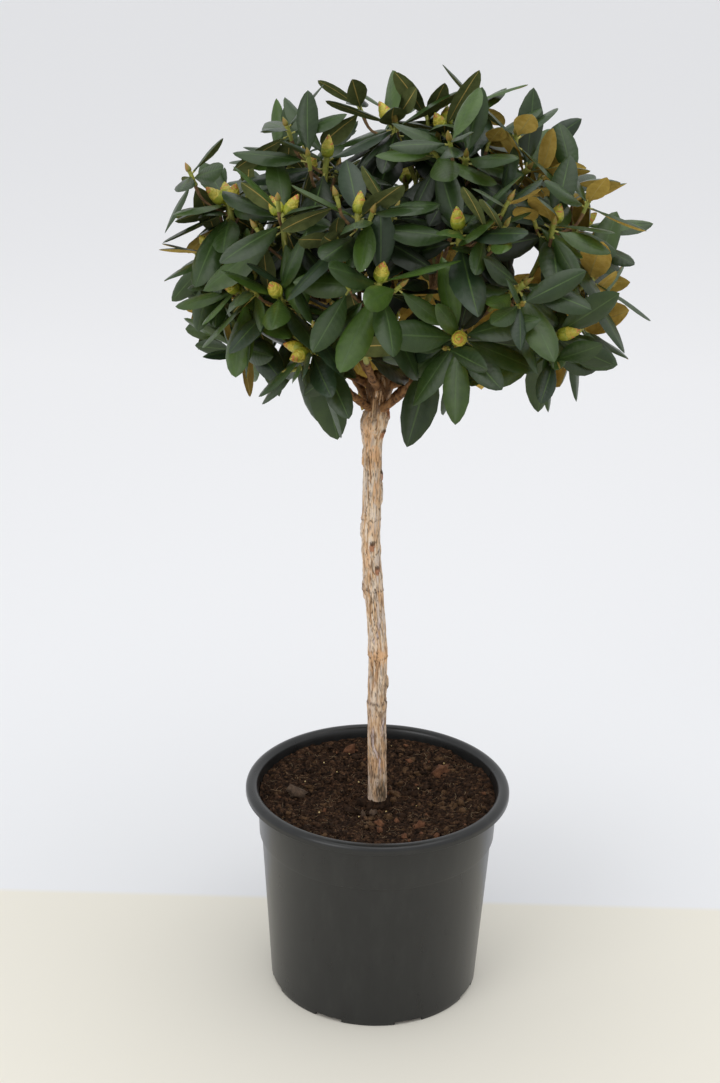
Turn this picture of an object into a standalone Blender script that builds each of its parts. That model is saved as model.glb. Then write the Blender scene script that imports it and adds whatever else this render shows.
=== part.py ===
# Rhododendron grown as a standard: one bare grafted stem under a round evergreen crown, in its nursery pot.
# Metres, +Z up. The origin is the middle of the pot's flat underside, and -Y faces the viewer.

import math
import random

import bmesh
import bpy
from mathutils import Matrix, Vector, noise
from mathutils.bvhtree import BVHTree

MM = 0.001
GAP = 0.3 * MM                # clearance between pieces that touch
MERGE = 0.01 * MM             # corners nearer than this are one
UP = Vector((0, 0, 1))

# Pot: a moulded container of about 20 litres
POT_HEIGHT = 286.6 * MM
POT_FOOT_RADIUS = 138.7 * MM
POT_WALL = 2.0 * MM
POT_FLOOR = 3.0 * MM
STEP_HEIGHT = 213 * MM        # the ledge that stacked pots rest on
STEP_RADIUS = 152.5 * MM      # wall just under the ledge
STEP_OUT = 3.0 * MM
NECK_RADIUS = 158.5 * MM      # wall just under the rim
RIM_RADIUS = 173.9 * MM
RIM_DROP = 11.6 * MM          # how far the rim's lip hangs down
RIM_WALL = 1.7 * MM
CREST_HALF = 3.0 * MM         # half width of the rim's level top
INNER_DROP = 3.4 * MM         # from the top down to where the rim leaves the wall inside
UNDER_CREST = 2.2 * MM        # from the top down to the rim's hollow underside
EDGE_IN = 1.6 * MM            # how far the rim's outer edge is rounded in,
EDGE_DROPS = (3.0 * MM, 6.5 * MM)   # between these depths under the top
UNDER_EDGE = 6.8 * MM
LEDGE_RUN = 4 * MM            # height over which the wall steps out
FOOT_BEVEL = (1.6 * MM, 2 * MM)     # in, and up
POT_STEPS = 36
NOTCHES = 8                   # drain slots round the foot
NOTCH_WIDTH = 38 * MM
NOTCH_HEIGHT = 5 * MM
NOTCH_DEPTH = 14 * MM
NOTCH_TURN = 20.5             # degrees from the front to the first slot

# Soil: the peat that fills the pot
SOIL_TOP = 258 * MM           # round the trunk, where it lies lowest
SOIL_RISE = 13 * MM           # how much higher it lies at the pot's wall
SOIL_LUMP = 3.2 * MM
SOIL_LUMPS = ((26 * MM, 1.0), (11 * MM, 0.6))   # size of the lumps, and their share
SOIL_FADE = 20 * MM           # the lumps grow to their height over this much from the seat
SOIL_SEAT_RADIUS = 24 * MM    # level ground that the trunk stands on
SOIL_RINGS = 5

# Trunk: bare stem with a swollen graft under the crown
TRUNK_FOOT = SOIL_TOP + GAP
TRUNK_TIP = 846 * MM
TRUNK_RADIUS_LOW = 13.0 * MM
TRUNK_RADIUS_HIGH = 11.9 * MM
TRUNK_FLARE = 1.8 * MM
FLARE_HEIGHT = 22 * MM
TIP_ROUNDING = 9 * MM         # the last of the trunk, which is rounded off
TIP_NARROWING = 0.6
TRUNK_RINGS = 34
TRUNK_BEVEL = 2               # an eight-sided limb
# where the trunk leans: from height, to height, sideways shift
LEANS = ((262 * MM, 400 * MM, -3.5 * MM), (450 * MM, 645 * MM, -12.8 * MM), (748 * MM, 830 * MM, 6.0 * MM))
# what swells it: height, half length, how far it stands out
SWELLINGS = (
    (398 * MM, 5 * MM, 1.1 * MM),
    (475 * MM, 9 * MM, 0.9 * MM),
    (578 * MM, 8 * MM, 1.0 * MM),
    (614 * MM, 6 * MM, 0.8 * MM),
    (783 * MM, 16 * MM, 4.8 * MM),
    (826 * MM, 16 * MM, 4.2 * MM),
)

# Crown: the dome that the tips of the shoots lie on, and the wider one that the leaves reach
FORK = Vector((-10.5 * MM, 0, 830 * MM))
DOME_CENTRE = Vector((25 * MM, 0, 955 * MM))
DOME_HALF = Vector((226 * MM, 195 * MM, 172 * MM))
REACH_CENTRE = Vector((25 * MM, 0, 988 * MM))
REACH_HALF = Vector((300 * MM, 280 * MM, 224 * MM))

# Boughs
BOUGH_REACH = 104 * MM        # from the fork to the end of a bough
BOUGH_ROOT_RADIUS = 5.4 * MM
BOUGH_TIP_RADIUS = 3.9 * MM
BOUGH_RINGS = 5
BOUGH_BEVEL = 1               # a six-sided limb
BOUGH_LEVEL = 0.6             # share of its run before it turns up
BOUGH_LIFT = (0.2, 0.3)       # share of its rise by then, and how much more the steepest have
# height that a bough leaves the trunk at, and how far from its middle
LOW_TIER = (797 * MM, 3 * MM)
HIGH_TIER = (826 * MM, 3 * MM)
TOP_TIER = (836 * MM, 6.4 * MM)

# Masses of foliage: the way each lies from the fork (degrees), and where its bough leaves the trunk
MASSES = {
    "left": dict(azimuth=178, elevation=42, tier=HIGH_TIER, seed=11),
    "front_left": dict(azimuth=-140, elevation=42, tier=LOW_TIER, seed=12),
    "front": dict(azimuth=-99, elevation=44, tier=HIGH_TIER, seed=13),
    "front_right": dict(azimuth=-51, elevation=43, tier=LOW_TIER, seed=14),
    "right": dict(azimuth=-14, elevation=40, tier=HIGH_TIER, seed=15),
    "back_right": dict(azimuth=31, elevation=42, tier=LOW_TIER, seed=16),
    "back": dict(azimuth=80, elevation=42, tier=HIGH_TIER, seed=17),
    "back_left": dict(azimuth=130, elevation=42, tier=LOW_TIER, seed=18),
    "top_left": dict(azimuth=-168, elevation=76, tier=TOP_TIER, seed=19),
    "top_right": dict(azimuth=18, elevation=74, tier=TOP_TIER, seed=20),
}
BOUGH_DIP = 15                # degrees that a bough lies below its mass, whose shoots turn upwards

# Shoots that carry the flower buds in front: the way each lies from the fork, and its share of the dome
BUDDED_SHOOTS = (
    (177, 50, 1.10), (180, 38, 1.08), (-140, 57, 1.0), (-163, 76, 1.0), (-152, 36, 1.0), (-101, 59, 1.0),
    (-90, 43, 1.0), (-61, 52, 1.0), (81, 84, 1.06), (26, 76, 1.05),
)
# Other shoots stand evenly spread over the dome, clear of those
SPREAD_SHOOTS = 44
SHOOT_SPACING = 16.5          # degrees
LOWEST_SHOOT = 17             # degrees above the level of the fork
OPEN_WAY = (-97, 12)          # the crown is open here in front, so that the graft shows
OPEN_SPREAD = 22              # degrees
DOME_SHARE = 0.97             # of the dome that the shortest of them reach,
SHARE_STEP = 0.02             # and what the next three add

# Seen from here, the graft and one gap of sky stay free of leaves
VIEWER = Vector((0, -2200 * MM, 1464 * MM))
GRAFT_TOP = 848 * MM
GRAFT_HALF = 27 * MM
SKY_GAP = Vector((163 * MM, 0, 983 * MM))
SKY_GAP_RADIUS = 27 * MM
SEEN_AT = (0.3, 0.55, 0.8, 1.0)   # places along a leaf that are looked at

# Twigs
STEM_LENGTH = 26 * MM         # from the bough's tip to the fork of the shoots
STEM_RADIUS = 3.6 * MM
SHOOT_RADIUS = 2.6 * MM
CROWDED_RADIUS = 3.7 * MM     # the thick end of a twig, where its leaves stand crowded
CROWDED_LENGTH = 22 * MM
BARE_TIP = 6 * MM             # from the twig's end to its first leaf
SHOOT_PARTS = 3
FORK_OVERLAP = 2 * MM         # how deep a shoot starts in its stem
STEM_PULL = 0.55              # how far a shoot first follows its stem
SHOOT_BEND = 0.55             # share of a shoot's span before it turns
SHOOT_SAG = 0.06
TWIG_SIDES = 3

# Leaves
LEAF_LENGTH = 108 * MM
LEAF_ASPECT = 0.36            # width over length
LEAF_CROWN = 0.9 * MM         # how far its upper face stands above the margins' plane
LEAF_KEEL = 2.0 * MM          # how far the midrib stands out below
LEAF_ARCH = 0.10              # how far the margins bend down, over the width
ROOT_DEPTH = 1.0 * MM         # how far past the middle of its twig a leaf's root is sunk
STALK_END = 0.13              # of the leaf's length
STALK_HALF_WIDTH = 1.5 * MM
WIDEST = 0.38                 # of the length
SHOULDER = (0.76, 0.8)        # of the length, and its share of the greatest width
BLADE_START = 0.2             # a leaf's stalk may cross those of its own mass up to here
BLADE_ROOT = (0.02, 0.35)     # the cut end of a blade: length to its first corners, and their share of the width
ROSETTE_LEAVES = 9
ROSETTE_OPENING = (38, 112)   # degrees from the shoot, youngest leaf to oldest
NODE_LEAVES = 4
NODE_OPENING = (80, 128)
OPENING_SPREAD = 7
TURN_SPREAD = 12
DROOP = (0.08, 0.22, 0.18)    # of a young leaf, and what the lowest and the aged ones add
LENGTHS = (0.84, 0.22, 0.06)  # likewise, shares of the length
LENGTH_SPREAD = (0.9, 1.08)
WIDTH_SPREAD = (0.9, 1.1)
BOW_SPREAD = (0.05, 0.17)
AGED_BOW = 0.05
SKY_PULL = 0.35               # how far upper faces turn from their shoot's tip to the sky
GOLDEN_TURN = 137.5           # degrees from one leaf to the next round the shoot
LEAF_STEP = 1.7 * MM          # from one leaf to the next down the shoot
LEAF_TWIST = 30               # degrees that a leaf may turn about its midrib
TRIES = 24                    # ways a leaf may turn to find room
FIRST_SWAY = 6                # degrees of the first try, and what each later one adds
SWAY_STEP = 2
LEAST_SWAY = 0.3
TWIST_SWAY = 1.5
SHRINK = 0.985                # what each try leaves of its length
LEAF_CLEARANCE = 0.8 * MM
HEART_REACH = 230 * MM        # from the fork to the heart of a mass
LEAF_HEART = 0.7              # the place along a leaf that says whose space it is in
SPACE_MARGIN = 40 * MM        # how far that may pass the middle between two masses

# Flower buds
BUD_LENGTH = 25 * MM
BUD_RADIUS = 7.6 * MM
BUD_EVERY = 5                 # of each five other shoots,
BUD_OF = 3                    # so many end in a flower bud
BUD_SIDES = 5
BUD_STATIONS = ((0, 0.45), (0.32, 1.0), (0.66, 0.86), (1.0, 0.14))   # share of length, share of radius
BUD_SINK = 2 * MM

COLOURS = {
    "pot": ((0.042, 0.044, 0.046), 0.42),
    "soil": ((0.030, 0.016, 0.010), 0.95),
    "bark": ((0.46, 0.30, 0.17), 0.8),
    "young_bark": ((0.24, 0.12, 0.06), 0.7),
    "leaf": ((0.045, 0.085, 0.032), 0.45),
}


def clear_scene():
    for leftover in list(bpy.data.objects):
        bpy.data.objects.remove(leftover, do_unlink=True)


def make_collection(name):
    collection = bpy.data.collections.new(name)
    bpy.context.scene.collection.children.link(collection)
    return collection


def make_material(name):
    colour, roughness = COLOURS[name]
    material = bpy.data.materials.new(name)
    material.use_nodes = True
    shader = material.node_tree.nodes["Principled BSDF"]
    shader.inputs["Base Color"].default_value = (*colour, 1)
    shader.inputs["Roughness"].default_value = roughness
    shader.inputs["Metallic"].default_value = 0
    return material


def add_object(name, mesh, collection, material=None):
    piece = bpy.data.objects.new(name, mesh)
    collection.objects.link(piece)
    if material:
        mesh.materials.append(material)
    return piece


def mark_as_cutter(piece):
    piece.hide_render = True
    piece.display_type = "WIRE"


def smooth(piece, angle=40):
    piece.data.shade_smooth()
    piece.data.set_sharp_from_angle(angle=math.radians(angle))


def ease(t):
    t = min(max(t, 0), 1)
    return t * t * (3 - 2 * t)


def direction(azimuth, elevation):
    a, e = math.radians(azimuth), math.radians(elevation)
    return Vector((math.cos(e) * math.cos(a), math.cos(e) * math.sin(a), math.sin(e)))


def bend(start, middle, end, parts):
    """Points along a curve that leaves start towards middle and arrives at end."""
    points = []
    for k in range(parts + 1):
        t = k / parts
        points.append(start * (1 - t) ** 2 + middle * 2 * t * (1 - t) + end * t * t)
    return points


def pot_wall_radius(z):
    """Outer radius of the pot's wall at a height."""
    if z < STEP_HEIGHT:
        return POT_FOOT_RADIUS + (STEP_RADIUS - POT_FOOT_RADIUS) * z / STEP_HEIGHT
    over = (z - STEP_HEIGHT) / (POT_HEIGHT - RIM_DROP - STEP_HEIGHT)
    low = STEP_RADIUS + STEP_OUT
    return low + (NECK_RADIUS - low) * over


def inner_wall():
    """Half section of the pot's inner wall, from its floor up to the height of the lip."""
    ledge = STEP_HEIGHT + POT_WALL
    return [
        (pot_wall_radius(POT_FLOOR) - POT_WALL, POT_FLOOR),
        (pot_wall_radius(STEP_HEIGHT - POT_WALL) - POT_WALL, STEP_HEIGHT),
        (pot_wall_radius(ledge) - POT_WALL, ledge + POT_WALL),
        (NECK_RADIUS - POT_WALL, POT_HEIGHT - RIM_DROP),
    ]


def pot_profile():
    """Half section of the pot: up its inner floor and wall, over the rim, and down the outer side."""
    lip = POT_HEIGHT - RIM_DROP
    crest = (NECK_RADIUS + RIM_RADIUS) / 2
    ledge = STEP_HEIGHT + LEDGE_RUN
    foot_in, foot_up = FOOT_BEVEL
    inside = [(0, POT_FLOOR)] + inner_wall()
    rim = [
        (NECK_RADIUS, POT_HEIGHT - INNER_DROP),
        (crest - CREST_HALF, POT_HEIGHT),
        (crest + CREST_HALF, POT_HEIGHT),
        (RIM_RADIUS - EDGE_IN, POT_HEIGHT - EDGE_DROPS[0]),
        (RIM_RADIUS, POT_HEIGHT - EDGE_DROPS[1]),
        (RIM_RADIUS, lip),
        (RIM_RADIUS - RIM_WALL, lip),
        (RIM_RADIUS - RIM_WALL, POT_HEIGHT - UNDER_EDGE),
        (crest, POT_HEIGHT - UNDER_CREST),
    ]
    outside = [
        (pot_wall_radius(lip), lip),
        (pot_wall_radius(ledge), ledge),
        (STEP_RADIUS, STEP_HEIGHT),
        (pot_wall_radius(foot_up), foot_up),
        (POT_FOOT_RADIUS - foot_in, 0),
        (0, 0),
    ]
    return inside + rim + outside


def turned_piece(name, profile, steps, collection, material):
    """A profile turned once about the Z axis."""
    bm = bmesh.new()
    corners = [bm.verts.new((x, 0, z)) for x, z in profile]
    for a, b in zip(corners, corners[1:]):
        bm.edges.new((a, b))
    mesh = bpy.data.meshes.new(name)
    bm.to_mesh(mesh)
    bm.free()
    piece = add_object(name, mesh, collection, material)
    turning = piece.modifiers.new("turned", "SCREW")
    turning.axis = "Z"
    turning.angle = math.tau
    turning.steps = steps
    turning.render_steps = steps
    turning.use_merge_vertices = True
    turning.merge_threshold = MERGE
    return piece


def make_pot(parts, cutters, material):
    pot = turned_piece("pot", pot_profile(), POT_STEPS, parts, material)
    slots = bpy.data.collections.new("pot_slots")
    cutters.children.link(slots)
    for k in range(NOTCHES):
        turn = math.radians(NOTCH_TURN + 360 * k / NOTCHES - 90)
        bpy.ops.mesh.primitive_cube_add(size=1)
        slot = bpy.context.object
        slot.name = f"pot_slot_{k + 1}"
        slot.data.transform(Matrix.Diagonal((2 * NOTCH_DEPTH, NOTCH_WIDTH, 2 * NOTCH_HEIGHT, 1)))
        slot.location = (POT_FOOT_RADIUS * math.cos(turn), POT_FOOT_RADIUS * math.sin(turn), 0)
        slot.rotation_euler.z = turn
        for home in list(slot.users_collection):
            home.objects.unlink(slot)
        slots.objects.link(slot)
        mark_as_cutter(slot)
    cut = pot.modifiers.new("drain slots", "BOOLEAN")
    cut.operation = "DIFFERENCE"
    cut.operand_type = "COLLECTION"
    cut.collection = slots
    return pot


def soil_profile():
    """Half section of the peat: a level seat for the trunk, a rise to the pot's wall, and down inside it."""
    sides = [(radius - 2 * GAP, z + GAP) for radius, z in inner_wall()]
    (low_radius, low), (high_radius, high) = sides[-2:]
    edge = low_radius + (high_radius - low_radius) * (SOIL_TOP + SOIL_RISE - low) / (high - low)
    profile = [(0, SOIL_TOP)]
    for k in range(SOIL_RINGS):
        t = k / (SOIL_RINGS - 1)
        profile.append((SOIL_SEAT_RADIUS + (edge - SOIL_SEAT_RADIUS) * t, SOIL_TOP + SOIL_RISE * ease(t)))
    return profile + sides[-2::-1] + [(0, POT_FLOOR + GAP)]


def make_soil(parts, material):
    """Peat plug: it fits the pot 0.3 mm clear, with a crumbly top."""
    profile = soil_profile()
    bm = bmesh.new()
    corners = [bm.verts.new((x, 0, z)) for x, z in profile]
    edges = [bm.edges.new(pair) for pair in zip(corners, corners[1:])]
    bmesh.ops.spin(bm, geom=corners + edges, axis=UP, cent=(0, 0, 0), angle=math.tau, steps=POT_STEPS,
                   use_merge=True)
    bmesh.ops.remove_doubles(bm, verts=bm.verts, dist=MERGE)
    for corner in bm.verts:
        radius = corner.co.xy.length
        if corner.co.z > SOIL_TOP - MM and radius > SOIL_SEAT_RADIUS + MM:
            level = Vector((corner.co.x, corner.co.y, SOIL_TOP))
            lumps = sum(share * noise.noise(level / size) for size, share in SOIL_LUMPS)
            fade = min(1, (radius - SOIL_SEAT_RADIUS) / SOIL_FADE)
            corner.co.z += SOIL_LUMP * lumps * fade
    bmesh.ops.recalc_face_normals(bm, faces=bm.faces)
    mesh = bpy.data.meshes.new("soil")
    bm.to_mesh(mesh)
    bm.free()
    soil = add_object("soil", mesh, parts, material)
    smooth(soil)
    return soil


def trunk_middle(z):
    shift = sum(step * ease((z - low) / (high - low)) for low, high, step in LEANS)
    return Vector((shift, 0, z))


def trunk_radius(z):
    """True taper, root flare, branch scars and the swollen graft."""
    along = (z - TRUNK_FOOT) / (TRUNK_TIP - TRUNK_FOOT)
    radius = TRUNK_RADIUS_LOW + (TRUNK_RADIUS_HIGH - TRUNK_RADIUS_LOW) * along
    radius += TRUNK_FLARE * math.exp(-(z - TRUNK_FOOT) / FLARE_HEIGHT)
    for height, half, stand in SWELLINGS:
        radius += stand * math.exp(-(((z - height) / half) ** 2))
    rounding = (z - (TRUNK_TIP - TIP_ROUNDING)) / TIP_ROUNDING
    if rounding > 0:
        radius *= math.sqrt(max(1 - TIP_NARROWING * rounding * rounding, 0))
    return radius


def limb(name, points, radii, resolution, collection, material=None):
    """One tapering limb, made as a bevelled curve and then a mesh."""
    curve = bpy.data.curves.new(name, "CURVE")
    curve.dimensions = "3D"
    curve.bevel_depth = 1
    curve.bevel_resolution = resolution
    curve.use_fill_caps = True
    spline = curve.splines.new("POLY")
    spline.points.add(len(points) - 1)
    for knot, place, radius in zip(spline.points, points, radii):
        knot.co = (*place, 1)
        knot.radius = radius
    guide = bpy.data.objects.new(name + "_curve", curve)
    collection.objects.link(guide)
    depsgraph = bpy.context.evaluated_depsgraph_get()
    mesh = bpy.data.meshes.new_from_object(guide.evaluated_get(depsgraph))
    bm = bmesh.new()
    bm.from_mesh(mesh)
    bmesh.ops.remove_doubles(bm, verts=bm.verts, dist=MERGE)
    bmesh.ops.recalc_face_normals(bm, faces=bm.faces)
    bm.to_mesh(mesh)
    bm.free()
    mesh.name = name
    piece = add_object(name, mesh, collection, material)
    piece.matrix_world = guide.matrix_world
    bpy.data.objects.remove(guide, do_unlink=True)
    bpy.data.curves.remove(curve)
    return piece


def make_trunk(parts, cutters, material):
    heights = [TRUNK_FOOT + (TRUNK_TIP - TRUNK_FOOT) * k / TRUNK_RINGS for k in range(TRUNK_RINGS + 1)]
    points = [trunk_middle(z) for z in heights]
    radii = [trunk_radius(z) for z in heights]
    trunk = limb("trunk", points, radii, TRUNK_BEVEL, parts, material)
    smooth(trunk)
    wider = [radius + GAP for radius in radii]
    points[-1] = points[-1] + UP * GAP
    clearance = limb("trunk_clearance", points, wider, TRUNK_BEVEL, cutters)
    mark_as_cutter(clearance)
    return trunk, clearance


def bough_path(mass):
    """From inside the trunk's head, outwards and up to where the bough enters its mass."""
    height, offset = mass["tier"]
    level = direction(mass["azimuth"], 0)
    start = trunk_middle(height) + level * offset
    tip = FORK + direction(mass["azimuth"], mass["elevation"] - BOUGH_DIP) * BOUGH_REACH
    steep = math.sin(math.radians(mass["elevation"]))
    out = (tip - start).dot(level)
    lift = (tip.z - start.z) * (BOUGH_LIFT[0] + BOUGH_LIFT[1] * steep)
    middle = start + level * out * BOUGH_LEVEL + UP * lift
    return bend(start, middle, tip, BOUGH_RINGS)


def make_boughs(parts, clearance, material):
    boughs = []
    for name, mass in MASSES.items():
        path = bough_path(mass)
        radii = []
        for k in range(len(path)):
            t = k / (len(path) - 1)
            radii.append(BOUGH_ROOT_RADIUS + (BOUGH_TIP_RADIUS - BOUGH_ROOT_RADIUS) * t)
        bough = limb(f"bough_{name}", path, radii, BOUGH_BEVEL, parts, material)
        cut = bough.modifiers.new("seat on the trunk", "BOOLEAN")
        cut.operation = "DIFFERENCE"
        cut.object = clearance
        smooth(bough)
        boughs.append(bough)
    return boughs


def across(axis):
    """Two directions square to an axis and to each other."""
    side = axis.cross(UP)
    if side.length < 0.05:
        side = axis.cross(Vector((0, 1, 0)))
    side.normalize()
    return side, side.cross(axis).normalized()


def tilted(axis, tilt, turn):
    """An axis leaned over by tilt, towards turn round it (degrees)."""
    side, rise = across(axis)
    a, b = math.radians(tilt), math.radians(turn)
    return (axis * math.cos(a) + (side * math.cos(b) + rise * math.sin(b)) * math.sin(a)).normalized()


def dome_point(heading):
    """Where a way out of the fork meets the dome of shoot tips."""
    start = FORK - DOME_CENTRE
    scaled = [Vector(v[k] / DOME_HALF[k] for k in range(3)) for v in (start, heading)]
    a = scaled[1].dot(scaled[1])
    b = 2 * scaled[0].dot(scaled[1])
    c = scaled[0].dot(scaled[0]) - 1
    return FORK + heading * (-b + math.sqrt(b * b - 4 * a * c)) / (2 * a)


def outside_reach(point):
    offset = point - REACH_CENTRE
    return sum((offset[k] / REACH_HALF[k]) ** 2 for k in range(3)) > 1


def leaf_line(leaf, s):
    """Place along a leaf's midrib at s of its length, where it bows down from its root."""
    drop = leaf["bow"] * s * s
    return leaf["root"] + (leaf["along"] * s - leaf["face"] * drop) * leaf["length"]


def leaf_corners(leaf, start=0.0, swell=0.0):
    """The corners of a leaf's solid: root, stalk, two pairs on the margins, tip, upper face and keel."""
    side = leaf["along"].cross(leaf["face"]).normalized()
    half = leaf["width"] / 2
    corners = [leaf_line(leaf, start) - leaf["along"] * swell]
    length, share = BLADE_ROOT
    stalk = (STALK_END, STALK_HALF_WIDTH) if start == 0 else (start + length, share * half)
    for s, reach in (stalk, (WIDEST, half), (SHOULDER[0], SHOULDER[1] * half)):
        arch = leaf["face"] * LEAF_ARCH * 2 * reach
        for sign in (-1, 1):
            corners.append(leaf_line(leaf, s) + side * sign * (reach + swell) - arch)
    corners.append(leaf_line(leaf, 1.0) + leaf["along"] * swell)
    corners.append(leaf_line(leaf, WIDEST) + leaf["face"] * (LEAF_CROWN + swell))
    keel = max(STALK_END, start + 2 * length)
    corners.append(leaf_line(leaf, keel) - leaf["face"] * (LEAF_KEEL + swell))
    return corners


UPPER, KEEL = 8, 9
RIGHT_OUTLINE = (0, 2, 4, 6, 7)
LEFT_OUTLINE = (7, 5, 3, 1, 0)
OUTLINE = tuple(zip(RIGHT_OUTLINE, RIGHT_OUTLINE[1:])) + tuple(zip(LEFT_OUTLINE, LEFT_OUTLINE[1:]))
LEAF_FACES = tuple((a, b, UPPER) for a, b in OUTLINE) + tuple((b, a, KEEL) for a, b in OUTLINE)


class Crown:
    """Everything that has grown so far, for finding room for the next leaf."""

    def __init__(self, limbs):
        self.shapes = {}
        self.trees = {}
        for piece in limbs:
            depsgraph = bpy.context.evaluated_depsgraph_get()
            mesh = piece.evaluated_get(depsgraph).to_mesh()
            self.add("limbs", "body", [v.co.copy() for v in mesh.vertices],
                     [tuple(p.vertices) for p in mesh.polygons])
            piece.evaluated_get(depsgraph).to_mesh_clear()

    def add(self, owner, kind, corners, faces):
        places, polygons = self.shapes.setdefault((owner, kind), ([], []))
        first = len(places)
        places.extend(corners)
        polygons.extend(tuple(first + k for k in face) for face in faces)
        self.trees[owner, kind] = BVHTree.FromPolygons(places, polygons)

    def clears_own(self, owner, corners, faces):
        """Stalks of one mass may cross, so they aren't looked at."""
        shape = BVHTree.FromPolygons(corners, faces)
        return not any(shape.overlap(tree) for (other, kind), tree in self.trees.items()
                       if other == owner and kind != "stalks")

    def clears_others(self, owner, corners, faces):
        shape = BVHTree.FromPolygons(corners, faces)
        return not any(shape.overlap(tree) for (other, _), tree in self.trees.items() if other != owner)

    def has_room(self, owner, leaf):
        """A leaf's blade clears its own mass, and the whole leaf clears all else."""
        blade = leaf_corners(leaf, start=BLADE_START, swell=LEAF_CLEARANCE)
        whole = leaf_corners(leaf, swell=LEAF_CLEARANCE)
        return self.clears_own(owner, blade, LEAF_FACES) and self.clears_others(owner, whole, LEAF_FACES)


def tube_corners(points, radii, sides):
    """Corners and faces of a closed tube along points."""
    corners, faces = [], []
    for k, place in enumerate(points):
        ahead = points[min(k + 1, len(points) - 1)] - points[max(k - 1, 0)]
        side, rise = across(ahead.normalized())
        for n in range(sides):
            angle = math.tau * n / sides
            corners.append(place + (side * math.cos(angle) + rise * math.sin(angle)) * radii[k])
    for k in range(len(points) - 1):
        for n in range(sides):
            a, b = k * sides + n, k * sides + (n + 1) % sides
            faces.append((a, b, b + sides, a + sides))
    faces.append(tuple(reversed(range(sides))))
    faces.append(tuple(range(len(corners) - sides, len(corners))))
    return corners, faces


def in_own_space(name, place, hearts):
    own = (place - hearts[name]).length
    return all(own - (place - heart).length < SPACE_MARGIN for other, heart in hearts.items() if other != name)


def shoot_ways():
    """The way from the fork to each shoot's tip, its share of the dome, and whether it is budded."""
    ways = [(direction(azimuth, elevation), share, True) for azimuth, elevation, share in BUDDED_SHOOTS]
    low = math.sin(math.radians(LOWEST_SHOOT))
    opening = direction(*OPEN_WAY)
    for k in range(SPREAD_SHOOTS):
        rise = low + (1 - low) * (k + 0.5) / SPREAD_SHOOTS
        way = direction(GOLDEN_TURN * k, math.degrees(math.asin(rise)))
        clear = all(math.degrees(way.angle(other)) > SHOOT_SPACING for other, _, _ in ways)
        if clear and math.degrees(way.angle(opening)) > OPEN_SPREAD:
            ways.append((way, DOME_SHARE + SHARE_STEP * (k % 4), k % BUD_EVERY < BUD_OF))
    return ways


def shoots_by_mass():
    """Each shoot belongs to the mass that lies nearest its way."""
    shoots = {name: [] for name in MASSES}
    for way, share, budded in shoot_ways():
        def away(name):
            return way.angle(direction(MASSES[name]["azimuth"], MASSES[name]["elevation"]))
        shoots[min(MASSES, key=away)].append((way, share, budded))
    return shoots


def grow_twigs(name, mass, shoots, crown):
    """The stem out of the bough's tip, and the shoots that fork from it up to the dome."""
    path = bough_path(mass)
    heading = (path[-1] - path[-2]).normalized()
    start = path[-1] + heading * GAP
    fork = start + heading * STEM_LENGTH
    twigs = [twig_of([start], fork, heading, STEM_RADIUS, tip=False, bud=False)]
    for way, share, budded in shoots:
        goal = FORK + (dome_point(way) - FORK) * share
        span = (goal - fork).length
        leaving = (heading * STEM_PULL + (goal - fork).normalized()).normalized()
        control = fork + leaving * span * SHOOT_BEND - UP * span * SHOOT_SAG
        axis = (goal - control).normalized()
        points = bend(fork - heading * FORK_OVERLAP, control, goal - axis * CROWDED_LENGTH, SHOOT_PARTS)
        twig = twig_of(points[:-1], goal, axis, SHOOT_RADIUS, tip=True, bud=budded)
        shape = tube_corners(twig["points"][1:], twig["radii"][1:], TWIG_SIDES)
        if crown.clears_others(name, *shape):
            twigs.append(twig)
    return twigs


def twig_of(points, end, axis, radius, tip, bud):
    """A twig through points to its thick end, which lies along an axis."""
    points = points + [end - axis * CROWDED_LENGTH, end]
    radii = [radius] * (len(points) - 2) + [CROWDED_RADIUS, CROWDED_RADIUS]
    return dict(points=points, radii=radii, axis=axis, tip=tip, bud=bud)


def whorl(twig, count, opening, rng, age):
    """The leaves round a twig's end, from the youngest at the top to the oldest below."""
    leaves = []
    axis = twig["axis"]
    first = rng.uniform(0, 360)
    for k in range(count):
        share = k / max(count - 1, 1)
        open_by = opening[0] + (opening[1] - opening[0]) * share + rng.uniform(-OPENING_SPREAD, OPENING_SPREAD)
        along = tilted(axis, open_by, first + GOLDEN_TURN * k + rng.uniform(-TURN_SPREAD, TURN_SPREAD))
        along = (along - UP * (DROOP[0] + DROOP[1] * share + DROOP[2] * age)).normalized()
        length = LEAF_LENGTH * (LENGTHS[0] + LENGTHS[1] * share + LENGTHS[2] * age) * rng.uniform(*LENGTH_SPREAD)
        leaves.append(dict(
            foot=twig["points"][-1] - axis * (BARE_TIP + LEAF_STEP * k), along=along, axis=axis, length=length,
            width=length * LEAF_ASPECT * rng.uniform(*WIDTH_SPREAD),
            bow=rng.uniform(*BOW_SPREAD) + AGED_BOW * age,
            twist=rng.uniform(-LEAF_TWIST, LEAF_TWIST), seed=rng.random()))
    return leaves


def face_leaf(leaf, along, twist):
    """Turn a leaf to a heading, with its upper face to its shoot's tip and a little to the sky."""
    face = leaf["axis"] + UP * SKY_PULL
    face = face - along * face.dot(along)
    if face.length < 0.1:
        face = across(along)[1]
    face = Matrix.Rotation(math.radians(twist), 3, along) @ face.normalized()
    outward = (along - leaf["axis"] * along.dot(leaf["axis"])).normalized()
    return dict(leaf, root=leaf["foot"] - outward * ROOT_DEPTH, along=along, face=face)


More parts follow.
